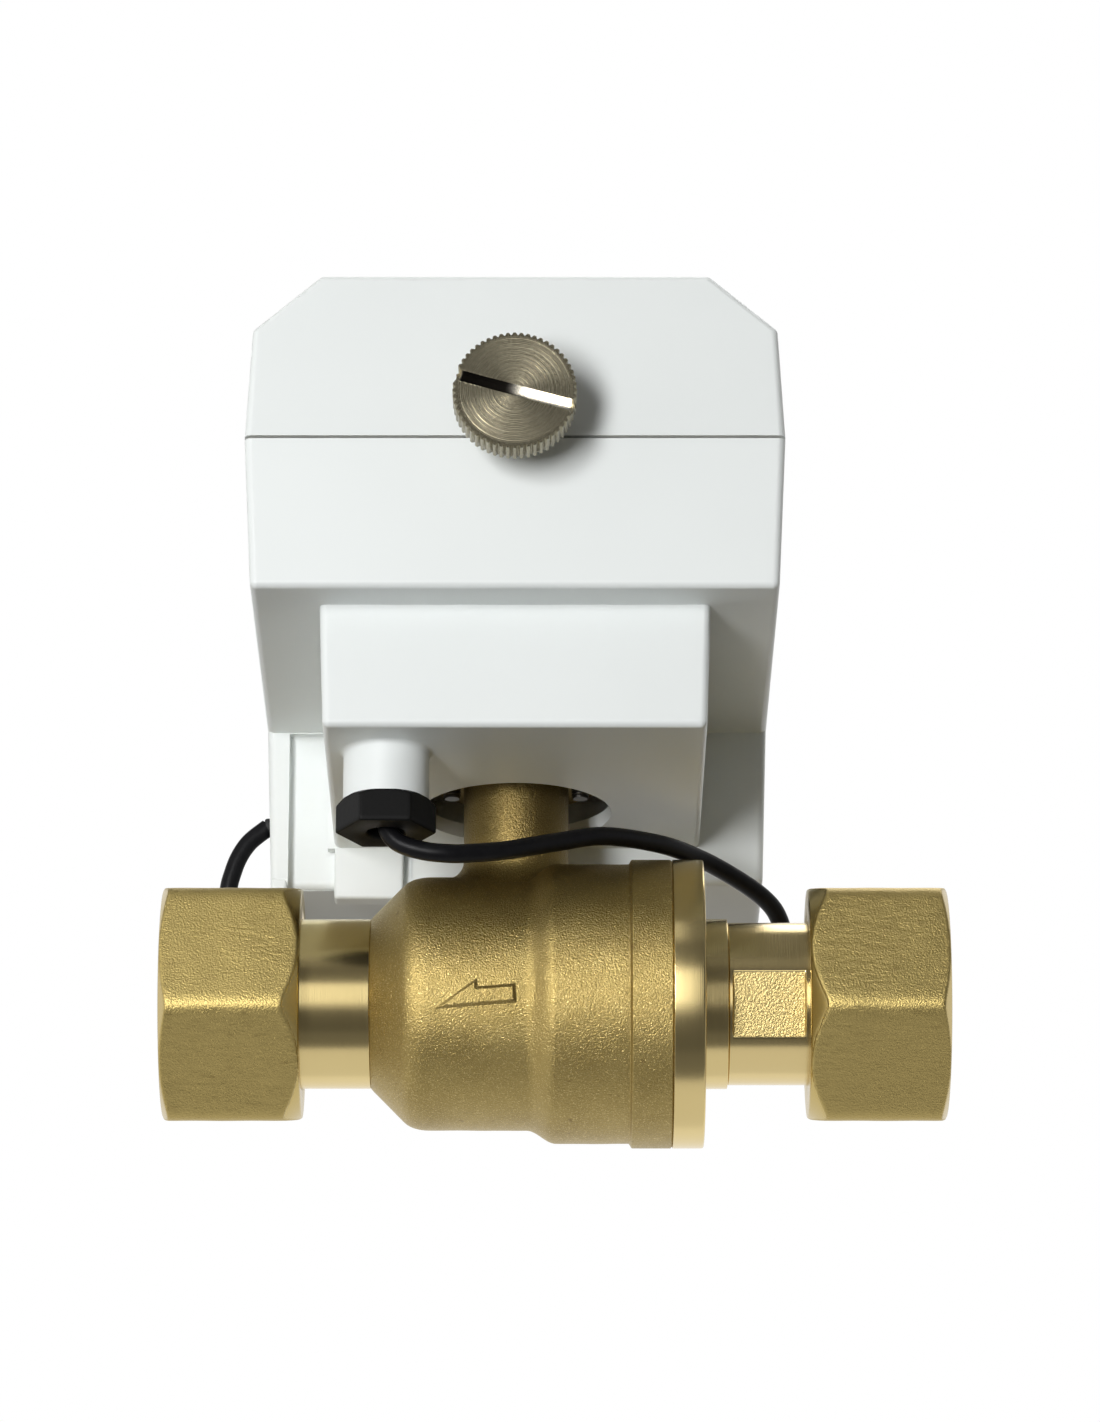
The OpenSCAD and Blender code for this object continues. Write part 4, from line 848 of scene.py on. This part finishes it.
def boss_foot():
    """Small concave round where the gland's boss leaves the housing: a quarter circle about the boss.

    It bites a little into the boss and the housing."""
    boss_r, size, ceiling, bite = 8.4, 0.9, 40.0, 0.2
    t = np.linspace(0, np.pi / 2, 8)
    curve_r = np.r_[boss_r + size * (1 - np.cos(t)), boss_r - bite, boss_r - bite]
    curve_z = np.r_[ceiling - size * (1 - np.sin(t)), ceiling + bite, ceiling - size]
    ring = about_z(curve_r, curve_z, np.linspace(0, FULL_TURN, 96, endpoint=False), GLAND_CENTRE)
    return piece("gland_boss_foot", [(ring, True, True)], "valve", WHITE)


def rear_panel():
    """Cover set into the rear compartment, its lug, and the foot of the wall beside it.

    The panel is a height field: at its left and its top it runs forward in a quarter circle to the wall, and
    at its foot it rounds off to the back. It reaches a little into the walls round it."""
    face, back, soft, floor, edge, reach = 25.8, 27.2, 1.8, 32.3, 0.7, 0.5
    left, step, right = COVER_LOW[0] - reach, -38.0, COVER_HIGH[0]
    top, shelf = COVER_HIGH[2] + reach, 40.3

    def quarter_round(distance):
        return soft - np.sqrt(soft ** 2 - (soft - np.clip(distance, 0, soft)) ** 2)

    patches = []
    tall_x = graded((left, 12), (left + soft, 6), (step,))
    short_x = np.linspace(step, right, 6)
    for x, high in ((tall_x, top), (short_x, shelf)):
        z = graded((floor, 10), (floor + soft, 12), (high - soft, 10), (high,))
        frame_rise = np.maximum(quarter_round(x - left)[:, None], quarter_round(top - z))
        front = face + quarter_round(z - floor) - frame_rise
        grid = np.stack([x[:, None] + 0 * z, front, z + 0 * front], axis=-1)
        rear = np.stack(np.broadcast_arrays(x[:, None], back, np.array([high, floor])), axis=-1)
        patches.append((np.concatenate([grid, rear], axis=1), True, False))
    lug_w, lug_right, lug_top = 14.1, COVER_HIGH[0] - 1.6, shelf + 0.2
    lug = rounded_block([lug_right - lug_w, COVER_LOW[1], COVER_LOW[2]], [lug_right, back, lug_top], edge)
    patches.append((lug, True, False))
    piece("soft_rear_panel", patches, "valve", WHITE, ["inset_cover"])
    wall_x, wall_front, wall_back, inset, drop, overlap = -50.2, 22.8, 53.0, 0.15, 2.2, 1.5
    foot = rounded_block([wall_x, wall_front, floor - drop], [left + inset, wall_back, floor + overlap], edge)
    piece("rear_wall_foot", [(foot, True, False)], "valve", WHITE)


def flush_grommet():
    """Rubber bush in the wall that the lead goes back through, with a low collar.

    It is a lathe outline about an axis beside the pipe's."""
    bore_r, plug_r, collar_r, collar, lip = 0.8, 3.2, 1.9, 1.5, 0.85
    wall_x = GROMMET_LOW[0] + lip
    outline = [[wall_x - collar, bore_r], [wall_x - collar, collar_r], [wall_x, collar_r], [wall_x, plug_r],
               [GROMMET_HIGH[0], plug_r], [GROMMET_HIGH[0], bore_r]]
    ring = turned(outline, [0.1, 0.9, 0.1, 0.1, 0.1, 0.1], 48) + [0, *(GROMMET_LOW + GROMMET_HIGH)[1:] / 2]
    return piece("flush_grommet", [(ring, True, True)], "valve", RUBBER, ["lead_grommet"])


def screw_ends():
    """Ends of the four flange screws, with a thread as a triangle wave of the height."""
    place_r, core_r, depth, pitch, ends, tip = 12.9, 1.55, 0.3, 0.6, 43.0, 0.4
    top = FLANGE_SCREWS_HIGH[2]
    z = np.arange(ends + tip, top, pitch / 4)
    ridge = np.abs(2 * ((z / pitch) % 1) - 1)
    r = np.r_[0, core_r - 0.1, core_r + depth * ridge, core_r, 0]
    z = np.r_[ends, ends, z, top, top]
    turn = np.linspace(0, FULL_TURN, 32, endpoint=False)
    centres = [(place_r * math.cos(a), place_r * math.sin(a)) for a in np.radians([0, 90, 180, 270])]
    patches = [(about_z(r, z, turn, centre), True, False) for centre in centres]
    return piece("flange_screw_ends", patches, "valve", SHADE_DARKENED_STEEL, ["flange_screws"], 50)


# Lead: the points of its route are listed, as in the part's source

LEAD_DIAMETER = 3.7
LEAD_ROUTE = np.array([
    [-25.2, -37.4, 27.5], [-24.8, -37.6, 24], [-22.6, -38, 21.3], [-18.2, -38.5, 19.6], [-13.4, -38.5, 19],
    [-8.8, -37, 19.5], [-1.7, -34, 21.1], [7.8, -27, 25], [17.4, -20, 28.6], [28.9, -8, 30.8], [37, 2, 31],
    [44, 8.5, 29.2], [49.8, 14, 26.8], [53, 18, 24], [54.4, 22, 19.5], [53.6, 26, 14], [50.5, 30, 8],
    [44.5, 33.5, 2.5], [35, 35.5, -2], [20, 36.5, -6], [0, 37, -7.5], [-20, 37.2, -5.5], [-36, 38, 1.5],
    [-48, 38.8, 11], [-56, 39, 22], [-59.5, 38.6, 33.5], [-58.5, 38.2, 40.5], [-55.8, 38, 45.8],
    [-51.6, 38, 49.5]])


def smooth_route(points, steps):
    """Cubic curve through the points, with `steps` points from each to the next.

    At each point it heads along the line that joins the two beside it."""
    p = np.vstack([points[:1], points, points[-1:]])
    t = np.linspace(0, 1, steps, endpoint=False)[None, :, None]
    a, b, c, d = (p[k:len(p) - 3 + k, None] for k in range(4))
    square = (2 * a - 5 * b + 4 * c - d) * t ** 2
    cube = (3 * b - a - 3 * c + d) * t ** 3
    run = 0.5 * (2 * b + (c - a) * t + square + cube)
    return np.vstack([run.reshape(-1, 3), points[-1:]])


def lead():
    """Round tube carried along the route; its side vector is the heading crossed with the Y axis, which
    the route never follows."""
    path = smooth_route(LEAD_ROUTE, 10)
    heading = np.gradient(path, axis=0)
    heading /= np.linalg.norm(heading, axis=1, keepdims=True)
    side = np.cross(heading, [0, 1, 0])
    side /= np.linalg.norm(side, axis=1, keepdims=True)
    up = np.cross(side, heading)
    a = np.linspace(0, FULL_TURN, 20, endpoint=False)[None, :, None]
    r = np.full(len(path), LEAD_DIAMETER / 2)
    r = np.r_[0, r, 0][:, None, None]
    ends = np.r_[0, np.arange(len(path)), len(path) - 1]
    tube = path[ends, None] + r * (np.cos(a) * side[ends, None] + np.sin(a) * up[ends, None])
    made = piece("black_lead", [(tube, True, False)], "valve", SHEATH, ["lead"])


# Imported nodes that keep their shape

def smoothing_group():
    """Geometry nodes: weld the loose triangles, shade them smooth and keep the steep edges crisp."""
    group = bpy.data.node_groups.new("weld_and_smooth", "GeometryNodeTree")
    group.interface.new_socket("Geometry", in_out="INPUT", socket_type="NodeSocketGeometry")
    group.interface.new_socket("Geometry", in_out="OUTPUT", socket_type="NodeSocketGeometry")
    start = Wire(group).add("NodeGroupInput")
    bare = start.add("GeometryNodeRemoveAttribute", {}, {"Geometry": start, "Name": "custom_normal"})
    welded = start.add("GeometryNodeMergeByDistance", {}, {"Geometry": bare, "Distance": WELD})
    smooth = start.add("GeometryNodeSetShadeSmooth", {"domain": "FACE"},
                       {"Geometry": welded, "Shade Smooth": True})
    steep = start.add("GeometryNodeInputMeshEdgeAngle").above(math.radians(32))
    crisp = start.add("GeometryNodeSetShadeSmooth", {"domain": "EDGE"},
                      {"Geometry": smooth, "Selection": steep, "Shade Smooth": False})
    start.add("NodeGroupOutput", {}, {0: crisp})
    return group


def dress(names, material):
    """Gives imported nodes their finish, and smooth shading with flat faces kept flat."""
    for name in names:
        node = nodes[name]
        node.data.materials.clear()
        node.data.materials.append(material)
        weld = node.modifiers.new("weld_and_smooth", "NODES")
        weld.node_group = SMOOTHING
        flat = node.modifiers.new("flat_faces", "WEIGHTED_NORMAL")
        flat.keep_sharp = True


# Stage

CAMERA_PLACE = Vector((0.0068, -1.2408, -0.3727))
CAMERA_HEADING = Vector((0.0, 0.9438, 0.3305))
CAMERA_LENS = 164.6
FLOOR_GAP = 1.2
FLOOR_Z = (BODY_LOW[2] - FLOOR_GAP) * MM
FRONT_AMBIENT = 0.14
BACK_AMBIENT = 0.70
WARM = (1.0, 0.975, 0.915)


def stage_card(name, corner, side, up, material):
    """A flat card: corner plus side and up vectors."""
    corner, side, up = (np.array(v, float) for v in (corner, side, up))
    mesh = bpy.data.meshes.new(name)
    mesh.from_pydata([corner, corner + side, corner + side + up, corner + up], [], [[0, 1, 2, 3]])
    mesh.materials.append(material)
    card = bpy.data.objects.new(name, mesh)
    bpy.context.scene.collection.objects.link(card)
    return card


def floor_finish():
    """Pale floor, seen from above only: its underside lets the view through, and far out it fades away."""
    made = bpy.data.materials.new("pale_floor")
    made.use_nodes = True
    tree = made.node_tree
    start = Wire(tree)
    place = start.add("ShaderNodeTexCoord", out="Object")
    grain = place.noise(40, 2)
    bounce = start.add("ShaderNodeLightPath", out="Is Diffuse Ray")
    colour = bounce.tint(grain.tint((0.80, 0.80, 0.79), (0.84, 0.84, 0.83)), (0.11, 0.106, 0.095))
    pale = start.add("ShaderNodeBsdfDiffuse", {}, {"Color": colour})
    clear = start.add("ShaderNodeBsdfTransparent")
    below = start.add("ShaderNodeNewGeometry", out="Backfacing")
    far = (place.axis("X") ** 2 + place.axis("Y") ** 2).between(0.10, 0.62)
    mixed = start.add("ShaderNodeMixShader", {}, {0: below.greatest(far), 1: pale, 2: clear})
    plug(tree, tree.nodes["Material Output"].inputs["Surface"], mixed)
    return made


def glossy_card(name, corner, side, up, grey):
    """A grey card that only reflections show."""
    made = bpy.data.materials.new(name)
    made.use_nodes = True
    tree = made.node_tree
    plain = Wire(tree).add("ShaderNodeEmission", {}, {"Color": (grey, grey, grey), "Strength": 1.0})
    plug(tree, tree.nodes["Material Output"].inputs["Surface"], plain)
    card = stage_card(name, corner, side, up, made)
    card.visible_camera = False
    card.visible_diffuse = False
    card.visible_shadow = False
    card.visible_transmission = False


def area_light(name, place, target, width, height, watts, glossy=True):
    """Rectangular soft lamp that faces the target; with glossy off, no reflection shows it."""
    lamp = bpy.data.lights.new(name, "AREA")
    lamp.shape = "RECTANGLE"
    lamp.size = width
    lamp.size_y = height
    lamp.energy = watts
    made = bpy.data.objects.new(name, lamp)
    made.location = place
    made.rotation_euler = (Vector(target) - Vector(place)).to_track_quat("-Z", "Y").to_euler()
    made.visible_camera = False
    made.visible_glossy = glossy
    bpy.context.scene.collection.objects.link(made)


def camera():
    """Camera at the photograph's angle."""
    scene = bpy.context.scene
    lens = bpy.data.cameras.new("camera")
    lens.lens = CAMERA_LENS
    lens.sensor_width = 36.0
    lens.clip_end = 50.0
    eye = bpy.data.objects.new("camera", lens)
    eye.location = CAMERA_PLACE
    eye.rotation_euler = CAMERA_HEADING.to_track_quat("-Z", "Y").to_euler()
    scene.collection.objects.link(eye)
    scene.camera = eye


def backdrop():
    """Floor, and the cards that metal reflects: a bright band before a dark wall, dimmer ones round it."""
    half = 4.0
    floor = stage_card("floor", (-half, -half, FLOOR_Z), (2 * half, 0, 0), (0, 2 * half, 0), floor_finish())
    floor.visible_shadow = False
    floor.visible_glossy = False
    wide, front, low, high = 2.2, -1.7, -2.4, 1.2
    glossy_card("front_card", (-wide, front, low), (2 * wide, 0, 0), (0, 0, high - low), 0.10)
    band_left, band_wide, band_front = -0.62, 0.85, front + 0.1
    glossy_card("bright_band", (band_left, band_front, -0.48), (band_wide, 0, 0), (0, 0, 0.80), 1.40)
    glossy_card("dim_band", (band_left, band_front, -0.68), (band_wide, 0, 0), (0, 0, 0.20), 0.50)
    glossy_card("upper_left_card", (-wide, front, high), (wide, 0, 0), (0, -0.9 * front, 0), 0.75)
    glossy_card("upper_right_card", (0, front, high), (wide, 0, 0), (0, -0.9 * front, 0), 0.18)
    glossy_card("right_card", (wide, front, low), (0, -1.6 * front, 0), (0, 0, high - low), 0.40)
    glossy_card("ceiling_card", (-wide, 0.1 * front, high), (2 * wide, 0, 0), (0, 1.2, 0), 0.15)
    glossy_card("lower_card", (-wide, front, low), (2 * wide, 0, 0), (0, -0.72 * front, 0), 0.16)
    glossy_card("under_card", (-wide, 0.28 * front, low), (2 * wide, 0, 0), (0, 2.7, 0), 0.82)


def lamps():
    """Key light low on the left, one lamp above, and a fill from behind on the right."""
    middle = (0.0, 0.0, 0.05)
    area_light("key", (-0.428, -1.114, -0.035), middle, 0.26, 0.6, 12.7)
    area_light("top", (0.25, 0.45, 1.15), middle, 0.8, 0.8, 6.0)
    area_light("fill", (0.90, 0.85, 0.80), middle, 0.9, 0.9, 9.0, glossy=False)


def surroundings():
    """World that is white to the eye and in reflections, and a soft ambient light, most of it from behind."""
    world = bpy.data.worlds.new("studio")
    world.use_nodes = True
    tree = world.node_tree
    start = Wire(tree)
    camera_ray, glossy_ray, clear_ray = (start.add("ShaderNodeLightPath", out=way) for way in (
        "Is Camera Ray", "Is Glossy Ray", "Is Transmission Ray"))
    seen = (camera_ray + glossy_ray + clear_ray).least(1.0)
    heading = start.add("ShaderNodeTexCoord", out="Generated")
    behind = (heading.axis("Y") - 0.5 * heading.axis("X")).between(-0.7, 0.9)
    ambient = FRONT_AMBIENT + (BACK_AMBIENT - FRONT_AMBIENT) * behind
    plug(tree, tree.nodes["Background"].inputs["Strength"], ambient + (1 - ambient) * seen)
    plug(tree, tree.nodes["Background"].inputs["Color"], seen.tint(WARM, (1, 1, 1)))
    bpy.context.scene.world = world


CAST = finish("cast_brass", cast_brass)
FORGED = finish("forged_brass", forged_brass)
POLISHED = finish("polished_brass", polished_brass)
MACHINED = finish("machined_brass", machined_brass)
NICKEL = finish("turned_nickel", turned_nickel)
WHITE = finish("white_moulding", white_moulding)
NYLON = finish("black_nylon", black_nylon)
RUBBER = finish("black_rubber", black_rubber)
SHEATH = finish("lead_sheath", sheath)
STEEL = finish("bright_steel", bright_steel)
SHADE_DARKENED_STEEL = finish("shade_darkened_steel", shade_darkened_steel)
CHROME = finish("ball_chrome", chrome)
SEAT = finish("seat_plastic", seat_plastic)
GEAR = finish("gear_plastic", gear_plastic)
BOARD = finish("board_green", board_green)
CELLS = finish("cell_wrap", cell_wrap)
TERMINAL = finish("terminal_green", plain_moulding((0.02, 0.16, 0.06), (0.03, 0.20, 0.08)))
SLEEVE = finish("capacitor_sleeve", plain_moulding((0.015, 0.02, 0.05), (0.02, 0.03, 0.07), 0.3))
BUFF = finish("seal_buff", plain_moulding((0.60, 0.54, 0.45), (0.66, 0.60, 0.51), 0.5))
BLACK = finish("holder_black", plain_moulding((0.012, 0.012, 0.013), (0.02, 0.02, 0.022), 0.45))
SMOOTHING = smoothing_group()

bpy.context.scene.view_settings.view_transform = "Standard"
camera()
backdrop()
lamps()
surroundings()
lead()
valve_body()
end_connector()
outlet_tail()
inlet_tail()
union_nut("forged_inlet_nut", INLET_NUT_LOW[0], INLET_NUT_HIGH[0], False, INLET_TAIL_R + NUT_CLEARANCE,
          "nut_in", "inlet_nut")
union_nut("forged_outlet_nut", OUTLET_NUT_LOW[0], OUTLET_NUT_HIGH[0], True, OUTLET_TAIL_R + NUT_CLEARANCE,
          "nut_out", "outlet_nut")
thumb_screw()
gland_nut()
boss_foot()
rear_panel()
flush_grommet()
screw_ends()
dress(["base_housing", "lid", "screw_washer"], WHITE)
dress(["outlet_gasket", "inlet_gasket", "body_o_ring", "stem_o_rings", "gland_seal"], RUBBER)
dress(["lid_seal"], BUFF)
dress(["seat_rings", "thrust_washer"], SEAT)
dress(["ball"], CHROME)
dress(["stem", "motor_pinion", "screw_insert"], POLISHED)
dress(["output_gear", "idler_gear"], GEAR)
dress(["plate_screws", "plate_spacers", "idler_pin", "motor", "motor_screws", "board_screws",
       "radio_module", "battery_contacts", "lower_gear_plate", "upper_gear_plate", "position_magnet"], STEEL)
dress(["control_board"], BOARD)
dress(["battery_cells"], CELLS)
dress(["terminal_block"], TERMINAL)
dress(["capacitors"], SLEEVE)
dress(["hall_sensor", "battery_holder"], BLACK)
